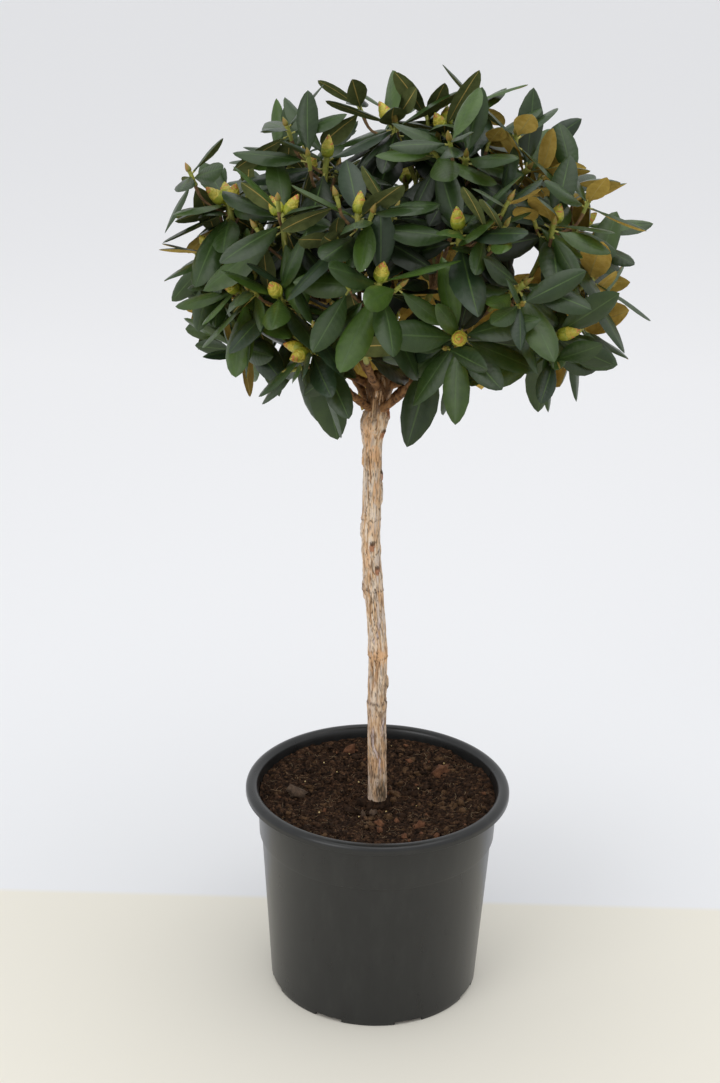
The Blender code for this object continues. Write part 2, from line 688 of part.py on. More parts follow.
def in_a_window(leaf):
    """Whether a leaf hangs before the graft, or across the gap of sky, as seen from the front."""
    for s in SEEN_AT:
        place = leaf_line(leaf, s)
        seen = VIEWER + (place - VIEWER) * (VIEWER.y / (VIEWER.y - place.y))
        hides_graft = place.y < FORK.y and seen.z < GRAFT_TOP and abs(seen.x - FORK.x) < GRAFT_HALF
        if hides_graft or (seen - SKY_GAP).length < SKY_GAP_RADIUS:
            return True
    return False


def settle_leaf(name, leaf, crown, hearts):
    """Turn a leaf until it has room, or give it up."""
    tries = random.Random(leaf["seed"])
    along, twist = leaf["along"], leaf["twist"]
    for k in range(TRIES):
        turned = face_leaf(leaf, along, twist)
        fits = in_own_space(name, leaf_line(turned, LEAF_HEART), hearts)
        fits = fits and not outside_reach(leaf_line(turned, 1.0)) and not in_a_window(turned)
        if fits and crown.has_room(name, turned):
            crown.add(name, "body", leaf_corners(turned, start=BLADE_START), LEAF_FACES)
            crown.add(name, "stalks", leaf_corners(turned), LEAF_FACES)
            return turned
        sway = FIRST_SWAY + SWAY_STEP * k
        leaf = dict(leaf, length=leaf["length"] * SHRINK, width=leaf["width"] * SHRINK)
        along = tilted(leaf["along"], tries.uniform(LEAST_SWAY, 1) * sway, tries.uniform(0, 360))
        twist = leaf["twist"] + tries.uniform(-1, 1) * sway * TWIST_SWAY
    return None


def grow_crown(limbs):
    """Twigs first, then the leaves round each tip, then the older leaves at each fork."""
    crown = Crown(limbs)
    hearts = {n: FORK + direction(m["azimuth"], m["elevation"]) * HEART_REACH for n, m in MASSES.items()}
    draws = {name: random.Random(mass["seed"]) for name, mass in MASSES.items()}
    grown = {name: dict(twigs=[], leaves=[], buds=[]) for name in MASSES}
    shoots = shoots_by_mass()
    for name, mass in MASSES.items():
        grown[name]["twigs"] = grow_twigs(name, mass, shoots[name], crown)
        for twig in grown[name]["twigs"]:
            crown.add(name, "body", *tube_corners(twig["points"], twig["radii"], TWIG_SIDES))
    for name, parts in grown.items():
        for twig in parts["twigs"]:
            if twig["tip"] and twig["bud"]:
                bud = dict(foot=twig["points"][-1] - twig["axis"] * BUD_SINK, axis=twig["axis"])
                parts["buds"].append(bud)
                crown.add(name, "body", *bud_corners(bud))
    for name, parts in grown.items():
        rng = draws[name]
        for twig in parts["twigs"]:
            if twig["tip"]:
                leaves = whorl(twig, ROSETTE_LEAVES, ROSETTE_OPENING, rng, 0)
            else:
                leaves = whorl(twig, NODE_LEAVES, NODE_OPENING, rng, 1)
            for leaf in leaves:
                settled = settle_leaf(name, leaf, crown, hearts)
                if settled:
                    parts["leaves"].append(settled)
    return grown


def bud_corners(bud):
    """A pointed scaly bud as a turned drop."""
    points = [bud["foot"] + bud["axis"] * BUD_LENGTH * s for s, _ in BUD_STATIONS]
    return tube_corners(points, [BUD_RADIUS * wide for _, wide in BUD_STATIONS], BUD_SIDES)


def closed_mesh(name, corners, faces):
    bm = bmesh.new()
    verts = [bm.verts.new(corner) for corner in corners]
    for face in faces:
        bm.faces.new([verts[k] for k in face])
    bmesh.ops.triangulate(bm, faces=bm.faces[:])
    bmesh.ops.recalc_face_normals(bm, faces=bm.faces)
    mesh = bpy.data.meshes.new(name)
    bm.to_mesh(mesh)
    bm.free()
    return mesh


def keep_the_one_body(mesh):
    """Drop loose scraps, and fill any hollow that the fusing sealed."""
    bm = bmesh.new()
    bm.from_mesh(mesh)
    bodies, seen = [], set()
    for face in bm.faces:
        if face in seen:
            continue
        body, queue = [], [face]
        seen.add(face)
        while queue:
            here = queue.pop()
            body.append(here)
            for edge in here.edges:
                for other in edge.link_faces:
                    if other not in seen:
                        seen.add(other)
                        queue.append(other)
        bodies.append(body)
    bodies.sort(key=len)
    scraps = [face for body in bodies[:-1] for face in body]
    bmesh.ops.delete(bm, geom=scraps, context="FACES")
    bm.to_mesh(mesh)
    bm.free()


def make_mass(name, grown, parts, material):
    """Fuse one mass's stem, shoots, buds and leaves into one solid."""
    pieces = bpy.data.collections.new(name + "_pieces")
    bpy.context.scene.collection.children.link(pieces)
    for twig in grown["twigs"][1:]:
        mesh = closed_mesh("shoot", *tube_corners(twig["points"], twig["radii"], TWIG_SIDES))
        add_object("shoot", mesh, pieces)
    for bud in grown["buds"]:
        add_object("bud", closed_mesh("bud", *bud_corners(bud)), pieces)
    for leaf in grown["leaves"]:
        add_object("leaf", closed_mesh("leaf", leaf_corners(leaf), LEAF_FACES), pieces)
    stem = grown["twigs"][0]
    mass = add_object(name, closed_mesh(name, *tube_corners(stem["points"], stem["radii"], TWIG_SIDES)),
                      parts, material)
    fuse = mass.modifiers.new("fused", "BOOLEAN")
    fuse.operation = "UNION"
    fuse.operand_type = "COLLECTION"
    fuse.collection = pieces
    fuse.solver = "MANIFOLD"
    depsgraph = bpy.context.evaluated_depsgraph_get()
    fused = bpy.data.meshes.new_from_object(mass.evaluated_get(depsgraph))
    mass.modifiers.remove(fuse)
    mass.data = fused
    keep_the_one_body(fused)
    for piece in list(pieces.objects):
        bpy.data.objects.remove(piece, do_unlink=True)
    bpy.data.collections.remove(pieces)
    return mass


def main():
    clear_scene()
    parts = make_collection("rhododendron_standard")
    cutters = make_collection("cutters")
    materials = {name: make_material(name) for name in COLOURS}
    make_pot(parts, cutters, materials["pot"])
    make_soil(parts, materials["soil"])
    trunk, clearance = make_trunk(parts, cutters, materials["bark"])
    boughs = make_boughs(parts, clearance, materials["young_bark"])
    for name, grown in grow_crown([trunk] + boughs).items():
        make_mass(f"foliage_{name}", grown, parts, materials["leaf"])


main()
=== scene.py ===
# A rhododendron grown as a standard, one bare grafted stem under a round crown, in its black nursery pot.
# This gives the finish of every surface. Metres, +Z up; the origin is the middle of the pot's flat underside.

import math
import random

import bmesh
import bpy
import numpy as np
from mathutils import Matrix, Vector, noise
from mathutils.bvhtree import BVHTree


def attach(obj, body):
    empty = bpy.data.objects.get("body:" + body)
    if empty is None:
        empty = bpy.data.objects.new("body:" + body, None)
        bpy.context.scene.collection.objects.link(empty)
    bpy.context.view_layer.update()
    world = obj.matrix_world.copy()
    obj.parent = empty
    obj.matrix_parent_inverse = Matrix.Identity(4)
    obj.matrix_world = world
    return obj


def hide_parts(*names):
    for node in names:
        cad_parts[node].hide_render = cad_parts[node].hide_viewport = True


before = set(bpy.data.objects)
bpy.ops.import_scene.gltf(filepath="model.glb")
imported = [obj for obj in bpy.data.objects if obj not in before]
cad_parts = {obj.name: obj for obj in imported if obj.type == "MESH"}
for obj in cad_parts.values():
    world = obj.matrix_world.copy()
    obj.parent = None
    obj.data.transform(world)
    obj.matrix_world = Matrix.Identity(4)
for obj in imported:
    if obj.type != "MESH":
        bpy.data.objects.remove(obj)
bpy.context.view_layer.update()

MM = 0.001
GAP = 0.3 * MM                # clearance between pieces that touch
MERGE = 0.01 * MM             # corners nearer than this are one
UP = Vector((0, 0, 1))
BODY = "root"

# Camera, found from the photograph: it stands in front of the plant and looks down on it
CAMERA_PLACE = Vector((0, -2.20045, 1.46352))
CAMERA_YAW = -0.01352         # radians
CAMERA_PITCH = 0.36436
CAMERA_ROLL = 0.02023
SENSOR = 36                   # millimetres, the long side
FOCAL_SHARE = 1873.81 / 1083  # focal length over the image's height

# Pot: a moulded container of about 20 litres
POT_HEIGHT = 286.6 * MM
POT_FOOT_RADIUS = 138.7 * MM
POT_WALL = 2.0 * MM
POT_FLOOR = 3.0 * MM
STEP_HEIGHT = 213 * MM        # the ledge that stacked pots rest on
STEP_RADIUS = 152.5 * MM      # wall just under the ledge
STEP_OUT = 3.0 * MM
NECK_RADIUS = 158.5 * MM      # wall just under the rim
RIM_RADIUS = 173.9 * MM
RIM_DROP = 11.6 * MM          # how far the rim's lip hangs down
RIM_WALL = 1.7 * MM
INNER_DROP = 3.4 * MM         # from the top down to where the rim leaves the wall inside
UNDER_CREST = 2.2 * MM        # from the top down to the rim's hollow underside
LEDGE_RUN = 4 * MM            # height over which the wall steps out
FOOT_BEVEL = (1.6 * MM, 2 * MM)     # in, and up
POT_STEPS = 180
POT_EDGE_ANGLE = 38           # degrees: edges sharper than this stay crisp
NOTCHES = 8                   # drain slots round the foot
NOTCH_WIDTH = 38 * MM
NOTCH_HEIGHT = 5 * MM
NOTCH_DEPTH = 14 * MM
NOTCH_TURN = 20.5             # degrees from the front to the first slot

# Soil: the peat that fills the pot
SOIL_TOP = 258 * MM           # round the trunk, where it lies lowest
SOIL_RISE = 13 * MM           # how much higher it lies at the pot's wall
SOIL_SEAT_RADIUS = 24 * MM    # level ground that the trunk stands on

# Trunk: bare stem with a swollen graft under the crown
TRUNK_FOOT = SOIL_TOP + GAP
TRUNK_TIP = 846 * MM
TRUNK_RADIUS_LOW = 13.0 * MM
TRUNK_RADIUS_HIGH = 11.9 * MM
TRUNK_FLARE = 0.4 * MM
FLARE_HEIGHT = 22 * MM
TIP_ROUNDING = 9 * MM         # the last of the trunk, which is rounded off
TIP_NARROWING = 0.6
# where the trunk leans: from height, to height, sideways shift
LEANS = ((262 * MM, 400 * MM, -3.5 * MM), (450 * MM, 645 * MM, -12.8 * MM), (748 * MM, 830 * MM, 6.0 * MM))
# what swells it: height, half length, how far it stands out
SWELLINGS = (
    (398 * MM, 5 * MM, 1.1 * MM),
    (475 * MM, 9 * MM, 0.9 * MM),
    (578 * MM, 8 * MM, 1.0 * MM),
    (614 * MM, 6 * MM, 0.8 * MM),
    (783 * MM, 16 * MM, 4.8 * MM),
    (826 * MM, 16 * MM, 4.2 * MM),
)

# Crown: the dome that the tips of the shoots lie on, and the wider one that the leaves reach
FORK = Vector((-10.5 * MM, 0, 830 * MM))
DOME_CENTRE = Vector((25 * MM, 0, 955 * MM))
DOME_HALF = Vector((226 * MM, 195 * MM, 172 * MM))
REACH_CENTRE = Vector((25 * MM, 0, 988 * MM))
REACH_HALF = Vector((300 * MM, 280 * MM, 224 * MM))

# Boughs
BOUGH_REACH = 104 * MM        # from the fork to the end of a bough
BOUGH_ROOT_RADIUS = 5.4 * MM
BOUGH_TIP_RADIUS = 3.9 * MM
BOUGH_RINGS = 5
BOUGH_LEVEL = 0.6             # share of its run before it turns up
BOUGH_LIFT = (0.2, 0.3)       # share of its rise by then, and how much more the steepest have
# height that a bough leaves the trunk at, and how far from its middle
LOW_TIER = (797 * MM, 3 * MM)
HIGH_TIER = (826 * MM, 3 * MM)
TOP_TIER = (836 * MM, 6.4 * MM)

# Masses of foliage: the way each lies from the fork (degrees), and where its bough leaves the trunk
MASSES = {
    "left": dict(azimuth=178, elevation=42, tier=HIGH_TIER, seed=11),
    "front_left": dict(azimuth=-140, elevation=42, tier=LOW_TIER, seed=12),
    "front": dict(azimuth=-99, elevation=44, tier=HIGH_TIER, seed=13),
    "front_right": dict(azimuth=-51, elevation=43, tier=LOW_TIER, seed=14),
    "right": dict(azimuth=-14, elevation=40, tier=HIGH_TIER, seed=15),
    "back_right": dict(azimuth=31, elevation=42, tier=LOW_TIER, seed=16),
    "back": dict(azimuth=80, elevation=42, tier=HIGH_TIER, seed=17),
    "back_left": dict(azimuth=130, elevation=42, tier=LOW_TIER, seed=18),
    "top_left": dict(azimuth=-168, elevation=76, tier=TOP_TIER, seed=19),
    "top_right": dict(azimuth=18, elevation=74, tier=TOP_TIER, seed=20),
}
BOUGH_DIP = 15                # degrees that a bough lies below its mass, whose shoots turn upwards

# Shoots that carry the flower buds in front: the way each lies from the fork, its share of the dome, and
# how many buds it bears
BUDDED_SHOOTS = (
    (177, 50, 1.10, 3), (180, 38, 1.08, 1), (-140, 57, 1.0, 2), (-163, 76, 1.0, 1), (-152, 36, 1.0, 2),
    (-101, 59, 1.0, 1), (-90, 43, 1.0, 1), (-61, 52, 1.0, 1), (81, 84, 1.06, 1), (26, 76, 1.05, 2),
)
# Other shoots stand evenly spread over the dome, clear of those
SPREAD_SHOOTS = 44
SHOOT_SPACING = 16.5          # degrees
LOWEST_SHOOT = 17             # degrees above the level of the fork
OPEN_WAY = (-97, 12)          # the crown is open here in front, so that the graft shows
OPEN_SPREAD = 22              # degrees
DOME_SHARE = 0.97             # of the dome that the shortest of them reach,
SHARE_STEP = 0.02             # and what the next three add
SHARE_STEPS = 4

# Seen from here, the graft and one gap of sky stay free of leaves
VIEWER = Vector((0, -2200 * MM, 1464 * MM))
GRAFT_TOP = 848 * MM
GRAFT_HALF = 27 * MM
SKY_GAP = Vector((163 * MM, 0, 983 * MM))
SKY_GAP_RADIUS = 27 * MM
BUD_SIGHT_RADIUS = 21 * MM    # and the later leaves stay this far off the line to a flower bud
SEEN_AT = (0.3, 0.55, 0.8, 1.0)   # places along a leaf that are looked at

# Twigs
STEM_LENGTH = 26 * MM         # from the bough's tip to the fork of the shoots
STEM_RADIUS = 3.6 * MM
SHOOT_RADIUS = 2.6 * MM
CROWDED_RADIUS = 3.7 * MM     # the thick end of a twig, where its leaves stand crowded
CROWDED_LENGTH = 22 * MM
BARE_TIP = 6 * MM             # from the twig's end to its first leaf
SHOOT_PARTS = 3
FORK_OVERLAP = 2 * MM         # how deep a shoot starts in its stem
STEM_PULL = 0.55              # how far a shoot first follows its stem
SHOOT_BEND = 0.55             # share of a shoot's span before it turns
SHOOT_SAG = 0.06
TWIG_SIDES = 3

# Leaves
LEAF_LENGTH = 108 * MM
LEAF_ASPECT = 0.36            # width over length
LEAF_CROWN = 0.9 * MM         # how far its upper face stands above the margins' plane
LEAF_KEEL = 2.0 * MM          # how far the midrib stands out below
LEAF_ARCH = 0.10              # how far the margins bend down, over the width
ROOT_DEPTH = 1.0 * MM         # how far past the middle of its twig a leaf's root is sunk
STALK_END = 0.13              # of the leaf's length
STALK_HALF_WIDTH = 1.5 * MM
WIDEST = 0.38                 # of the length
SHOULDER = (0.76, 0.8)        # of the length, and its share of the greatest width
BLADE_START = 0.2             # a leaf's stalk may cross those of its own mass up to here
# the cut end of a blade: length to its first corners, and their share of the width
BLADE_ROOT = (0.02, 0.35)
# Whorls of leaves
ROSETTE_LEAVES = 9
ROSETTE_OPENING = (38, 112)   # degrees from the shoot, youngest leaf to oldest
NODE_LEAVES = 4
NODE_OPENING = (80, 128)
OPENING_SPREAD = 7
TURN_SPREAD = 12
DROOP = (0.08, 0.22, 0.18)    # of a young leaf, and what the lowest and the aged ones add
LENGTHS = (0.84, 0.22, 0.06)  # likewise, shares of the length
LENGTH_SPREAD = (0.9, 1.08)
WIDTH_SPREAD = (0.9, 1.1)
BOW_SPREAD = (0.05, 0.17)
AGED_BOW = 0.05
SKY_PULL = 0.35               # how far upper faces turn from their shoot's tip to the sky
GOLDEN_TURN = 137.5           # degrees from one leaf to the next round the shoot
LEAF_STEP = 1.7 * MM          # from one leaf to the next down the shoot
LEAF_TWIST = 30               # degrees that a leaf may turn about its midrib
TRIES = 24                    # ways a leaf may turn to find room
FIRST_SWAY = 6                # degrees of the first try, and what each later one adds
SWAY_STEP = 2
LEAST_SWAY = 0.3
TWIST_SWAY = 1.5
SHRINK = 0.985                # what each try leaves of its length
LEAF_CLEARANCE = 0.8 * MM
HEART_REACH = 230 * MM        # from the fork to the heart of a mass
LEAF_HEART = 0.7              # the place along a leaf that says whose space it is in
SPACE_MARGIN = 40 * MM        # how far that may pass the middle between two masses

# Flower buds
BUD_LENGTH = 25 * MM
BUD_RADIUS = 7.6 * MM
BUD_EVERY = 5                 # of each five other shoots,
BUD_OF = 3                    # so many end in a flower bud
BUD_SIDES = 5
BUD_STATIONS = ((0, 0.45), (0.32, 1.0), (0.66, 0.86), (1.0, 0.14))   # share of length, share of radius
BUD_SINK = 2 * MM

RESTING_BUD_LENGTH = 13 * MM
RESTING_BUD_RADIUS = 3.2 * MM
RESTING_BUD_RINGS = 8

# Finer growth, after everything above
LATE_LEAVES = 5               # older leaves below each rosette
LATE_OPENING = (82, 122)
LATE_DROP = 2 * MM
LATE_AGE = 0.6
LOWEST_LATE_TIP = 862 * MM    # the older leaves and the side shoots' leaves hang no lower
# Short side shoots: two on each shoot, and four on one whose tip stands high. For each, its place along the
# shoot's upper half, how far it turns up, and how much longer it is
SPUR_FORMS = ((0.15, 0.5, 1.0), (0.75, 0.5, 1.0), (0.45, 1.3, 1.4), (1.0, 1.3, 1.4))
SPURS = 2
HIGH_SPURS = 4
HIGH_TIP = 1010 * MM
SPUR_LENGTH = 48 * MM
SPUR_RADIUS = 1.7 * MM
SPUR_LEAVES = 6
SPUR_OPENING = (35, 118)
SPUR_LEAF = 0.82              # size of their leaves
SPUR_AGE = 0.2
SPUR_TIP = 8 * MM
SPUR_TIP_SWELL = 1.5
SPUR_TILT = (42, 62)          # degrees from their shoot
SPUR_SPREAD = (0.8, 1.2)      # of their length
THIN_CLEARANCE = -0.5 * MM    # these leaves may come closer, because a blade is thin


def linear(hex_colour):
    """An sRGB hex value as a linear colour."""
    channels = [int(hex_colour[k:k + 2], 16) / 255 for k in (1, 3, 5)]
    return (*[c / 12.92 if c <= 0.04045 else ((c + 0.055) / 1.055) ** 2.4 for c in channels], 1)


def add_node(tree, kind, settings=None, links=None):
    """A node with its settings and links: a setting is an input or a property, and stops fill a ramp."""
    node = tree.nodes.new("ShaderNode" + kind)
    for key, value in (settings or {}).items():
        if key == "stops":
            ramp = node.color_ramp
            for _ in value[2:]:
                ramp.elements.new(0.5)
            for element, (place, colour) in zip(ramp.elements, value):
                element.position = place
                element.color = linear(colour)
        elif isinstance(key, int) or key in node.inputs:
            node.inputs[key].default_value = value
        else:
            setattr(node, key, value)
    for key, source in (links or {}).items():
        tree.links.new(source, node.inputs[key])
    return node


def new_material(name, roughness, **sockets):
    """A named material with its Principled shader and its Object coordinates."""
    material = bpy.data.materials.new(name)
    material.use_nodes = True
    tree = material.node_tree
    shader = tree.nodes["Principled BSDF"]
    shader.inputs["Roughness"].default_value = roughness
    for key, value in sockets.items():
        shader.inputs[key.replace("_", " ")].default_value = value
    place = add_node(tree, "TexCoord").outputs["Object"]
    return material, tree, shader, place


def per_metre(size):
    """The texture scale that makes a pattern about this size."""
    return 1 / size


TONES_FROM = 0.34             # the noise value of a mottled finish's first tone,
TONES_SPAN = 0.32             # and how far its last one lies above it


def mottled(name, colours, spot, roughness, grain, relief, veined=False, **sockets):
    """A finish of cloudy tones with a fine even grain, and a leaf's side veins where it is veined."""
    material, tree, shader, place = new_material(name, roughness, **sockets)
    clouds = add_node(tree, "TexNoise", {"Scale": per_metre(spot), "Detail": 5, "Roughness": 0.6},
                      {"Vector": place})
    stops = [(TONES_FROM + TONES_SPAN * k / (len(colours) - 1), tone) for k, tone in enumerate(colours)]
    tone = add_node(tree, "ValToRGB", {"stops": stops}, {"Fac": clouds.outputs["Fac"]})
    tree.links.new(tone.outputs["Color"], shader.inputs["Base Color"])
    fine = add_node(tree, "TexNoise", {"Scale": per_metre(grain), "Detail": 3}, {"Vector": place})
    height = fine.outputs["Fac"]
    if veined:
        height = vein_height(tree, height)
    bump = add_node(tree, "Bump", {"Strength": 1.0, "Distance": relief}, {"Height": height})
    tree.links.new(bump.outputs["Normal"], shader.inputs["Normal"])
    return material


def mottled_set(*rows):
    """Finishes from rows of name, tones, spot, roughness, grain, relief (sizes in millimetres) and sheen."""
    return [mottled(name, tones, spot * MM, roughness, grain * MM, relief * MM, Specular_IOR_Level=sheen)
            for name, tones, spot, roughness, grain, relief, sheen in rows]


FULL_SHEEN = 0.5              # the specular level of a plain surface
VEINS = 12                    # pairs of side veins on a leaf
VEIN_SLANT = 0.10             # how far along the leaf a vein runs by its margin
VEIN_SHARE = 0.25             # depth of a furrow over that of the grain


def vein_height(tree, grain):
    """Sunken side veins that slant forwards from the midrib, added to a grain."""
    blade = add_node(tree, "UVMap", {"uv_map": "blade"})
    parts = add_node(tree, "SeparateXYZ", None, {"Vector": blade.outputs[0]})
    away = add_node(tree, "Math", {"operation": "ABSOLUTE"}, {0: parts.outputs["Y"]})
    along = add_node(tree, "Math", {"operation": "MULTIPLY_ADD", 1: -VEIN_SLANT},
                     {0: away.outputs[0], 2: parts.outputs["X"]})
    phase = add_node(tree, "Math", {"operation": "MULTIPLY", 1: VEINS * math.tau}, {0: along.outputs[0]})
    wave = add_node(tree, "Math", {"operation": "SINE"}, {0: phase.outputs[0]})
    both = add_node(tree, "Math", {"operation": "MULTIPLY_ADD", 1: VEIN_SHARE},
                    {0: wave.outputs[0], 2: grain})
    return both.outputs[0]


# Living leaf: a waxy cuticle over dark tissue. It gives a soft grey sheen, never a mirror.
# The last green is painted shade, given to the leaves deep in the crown where shade falls
LEAF_GREENS = (
    ("#263b15", "#2f441b"), ("#213315", "#2a3d1b"), ("#2f4417", "#3a501d"), ("#20311c", "#293b25"),
    ("#364d1a", "#425c20"), ("#16220e", "#1e2c15"),
)
PAINTED_SHADE_GREEN = 5              # the darkest green: painted shade on leaves deep in the crown
DEEP_SHARE = 0.6              # of the crown's reach
# Indumentum: a close felt of golden-brown hairs under the leaf. It is matt and warm. Young leaves on top of
# the crown have it thin, so that the green shows through.
FELTS = (("#c6a44f", "#dcbf69"), ("#b29448", "#caae58"), ("#8b7439", "#a48b49"), ("#59623a", "#6c7447"))
THIN_FELT = 3
THIN_FROM = 1000 * MM         # height where the thin felt starts
GOLDEN_AND_LIT_SIDE = 105 * MM        # on this side the brightest golden felts are kept all the way up, as painted light on lit undersides; elsewhere the brightest gives way to the thin felt


def leaf_materials():
    """Uppers, felts, then the midrib above and below, and the stalk."""
    made = []
    for k, tones in enumerate(LEAF_GREENS):
        made.append(mottled(f"waxy_leaf_{k + 1}", tones, 14 * MM, 0.36, 1.1 * MM, 0.16 * MM, veined=True,
                            IOR=1.45))
    return made + mottled_set(
        *[(f"leaf_felt_{k + 1}", tones, 9, 0.92, 0.7, 0.15, 0.15) for k, tones in enumerate(FELTS)],
        ("midrib_above", ("#354c20", "#435c28"), 10, 0.5, 1, 0.05, FULL_SHEEN),
        ("midrib_below", ("#b79c50", "#cfb768"), 10, 0.7, 1, 0.05, FULL_SHEEN),
        ("leaf_stalk", ("#8f9147", "#b5af5e"), 10, 0.55, 1, 0.05, FULL_SHEEN))


def bud_materials():
    """Bud scales: thin, waxy and slightly sticky, green at the foot and flushed at the tip."""
    return mottled_set(
        ("green_bud_scale", ("#87952a", "#a9ab38"), 7, 0.40, 0.8, 0.05, FULL_SHEEN),
        ("yellow_bud_scale", ("#a9a636", "#cdbb4a"), 7, 0.40, 0.8, 0.05, FULL_SHEEN),
        ("flushed_bud_scale", ("#c98c45", "#b8703e"), 5, 0.42, 0.8, 0.05, FULL_SHEEN),
        ("resting_bud_scale", ("#7c8032", "#9a7238"), 5, 0.5, 0.8, 0.05, FULL_SHEEN))


def twig_materials():
    """Young shoots are green and smooth, and last year's are brown with fine cork."""
    return mottled_set(
        ("young_shoot", ("#7d8a37", "#a3a04c"), 8, 0.55, 1, 0.1, FULL_SHEEN),
        ("brown_twig", ("#5b4229", "#8a6d47"), 6, 0.8, 1.2, 0.3, FULL_SHEEN))


def crumb_materials():
    """Peat crumbs, reddish peat, red-brown bark, coated prills of fertiliser, and weathered grey bark."""
    return mottled_set(
        ("peat_crumb", ("#1a120d", "#3d2c20"), 6, 0.95, 0.8, 0.3, 0.12),
        ("red_peat", ("#41301f", "#644c37"), 6, 0.95, 0.8, 0.3, 0.12),
        ("bark_chip", ("#4f3324", "#7b543b"), 5, 0.9, 0.9, 0.4, 0.2),
        ("coated_prill", ("#cfae6a", "#e6d29a"), 3, 0.35, 1, 0.02, FULL_SHEEN),
        ("grey_chip", ("#40332a", "#625041"), 4, 0.9, 0.9, 0.4, 0.2))


def fibre_materials():
    """Dry fibre is pale straw, and wet fibre is dark."""
    return mottled_set(
        ("dry_fibre", ("#77634b", "#a08b6e"), 6, 0.85, 1, 0.02, 0.2),
        ("wet_fibre", ("#3a2618", "#5c402a"), 6, 0.85, 1, 0.02, 0.2))


def bark_material(name):
    """Flaking bark: dry, matt cork. Its tone lies in the mesh, under fine fibres that run along the stem."""
    material, tree, shader, place = new_material(name, 0.86, Specular_IOR_Level=0.25)
    stretch = add_node(tree, "Mapping", {"Scale": (1, 1, 0.14)}, {"Vector": place})
    fibres = add_node(tree, "TexNoise", {"Scale": per_metre(1.3 * MM), "Detail": 6, "Roughness": 0.7},
                      {"Vector": stretch.outputs["Vector"]})
    stops = [(0.3, "#b5aaa1"), (0.48, "#f7f4f1"), (0.7, "#ffffff")]
    shade = add_node(tree, "ValToRGB", {"stops": stops}, {"Fac": fibres.outputs["Fac"]})
    tone = add_node(tree, "Attribute", {"attribute_name": "bark_tone"})
    both = add_node(tree, "Mix", {"data_type": "RGBA", "blend_type": "MULTIPLY", "Factor": 1.0},
                    {6: tone.outputs["Color"], 7: shade.outputs["Color"]})
    tree.links.new(both.outputs[2], shader.inputs["Base Color"])
    bump = add_node(tree, "Bump", {"Strength": 0.9, "Distance": 0.6 * MM}, {"Height": fibres.outputs["Fac"]})
    tree.links.new(bump.outputs["Normal"], shader.inputs["Normal"])
    return material


def pot_material():
    """Moulded polypropylene, black: satin, with faint flow marks and handling scuffs."""
    material, tree, shader, place = new_material("moulded_polypropylene", 0.36, IOR=1.49)
    flow = add_node(tree, "Mapping", {"Scale": (1, 1, 0.3)}, {"Vector": place})
    marks = add_node(tree, "TexNoise", {"Scale": per_metre(16 * MM), "Detail": 5, "Roughness": 0.6},
                     {"Vector": flow.outputs["Vector"]})
    stops = [(0.3, "#191a1a"), (0.55, "#1e1f1f"), (0.8, "#262726")]
    tone = add_node(tree, "ValToRGB", {"stops": stops}, {"Fac": marks.outputs["Fac"]})
    tree.links.new(tone.outputs["Color"], shader.inputs["Base Color"])
    gloss = add_node(tree, "MapRange", {"To Min": 0.24, "To Max": 0.34}, {"Value": marks.outputs["Fac"]})
    tree.links.new(gloss.outputs["Result"], shader.inputs["Roughness"])
    fine = add_node(tree, "TexNoise", {"Scale": per_metre(1.2 * MM), "Detail": 2}, {"Vector": place})
    bump = add_node(tree, "Bump", {"Strength": 0.4, "Distance": 0.05 * MM}, {"Height": fine.outputs["Fac"]})
    tree.links.new(bump.outputs["Normal"], shader.inputs["Normal"])
    return material


def peat_material():
    """Moist peat: dark, crumbly and matt, with redder and blacker crumbs, and painted shade darkening its
    hollows.
    """
    material, tree, shader, place = new_material("moist_peat", 0.95, Specular_IOR_Level=0.12)
    clouds = add_node(tree, "TexNoise", {"Scale": per_metre(9 * MM), "Detail": 10, "Roughness": 0.8},
                      {"Vector": place})
    stops = [(0.36, "#1a120d"), (0.48, "#39291e"), (0.58, "#5e4533"), (0.69, "#8c6c52")]
    tone = add_node(tree, "ValToRGB", {"stops": stops}, {"Fac": clouds.outputs["Fac"]})
    # Painted shade: the hollows of the peat's relief, found by their pointiness, are darkened
    form = add_node(tree, "NewGeometry")
    stops = [(0.45, "#3c3632"), (0.5, "#d0cbc6"), (0.55, "#ffffff")]
    painted_hollow_shade = add_node(tree, "ValToRGB", {"stops": stops}, {"Fac": form.outputs["Pointiness"]})
    both = add_node(tree, "Mix", {"data_type": "RGBA", "blend_type": "MULTIPLY", "Factor": 1.0},
                    {6: tone.outputs["Color"], 7: painted_hollow_shade.outputs["Color"]})
    tree.links.new(both.outputs[2], shader.inputs["Base Color"])
    fine = add_node(tree, "TexNoise", {"Scale": per_metre(2.2 * MM), "Detail": 6, "Roughness": 0.8},
                    {"Vector": place})
    bump = add_node(tree, "Bump", {"Strength": 1.0, "Distance": 1.8 * MM}, {"Height": fine.outputs["Fac"]})
    tree.links.new(bump.outputs["Normal"], shader.inputs["Normal"])
    return material


def linked(name, data):
    """A new object in the scene for a mesh, lamp or lens."""
    thing = bpy.data.objects.new(name, data)
    bpy.context.scene.collection.objects.link(thing)
    return thing


def mesh_of(bm, name):
    """A finished bmesh as a named mesh."""
    mesh = bpy.data.meshes.new(name)
    bm.to_mesh(mesh)
    bm.free()
    return mesh


def turned_shape(profile, steps):
    """A closed shape turned round the pot's axis from its half section, as a bmesh."""
    bm = bmesh.new()
    corners = [bm.verts.new((x, 0, z)) for x, z in profile]
    edges = [bm.edges.new(pair) for pair in zip(corners, corners[1:])]
    bmesh.ops.spin(bm, geom=corners + edges, axis=UP, cent=(0, 0, 0), angle=math.tau, steps=steps,
                   use_merge=True)
    bmesh.ops.remove_doubles(bm, verts=bm.verts, dist=MERGE)
    bmesh.ops.recalc_face_normals(bm, faces=bm.faces)
    return bm


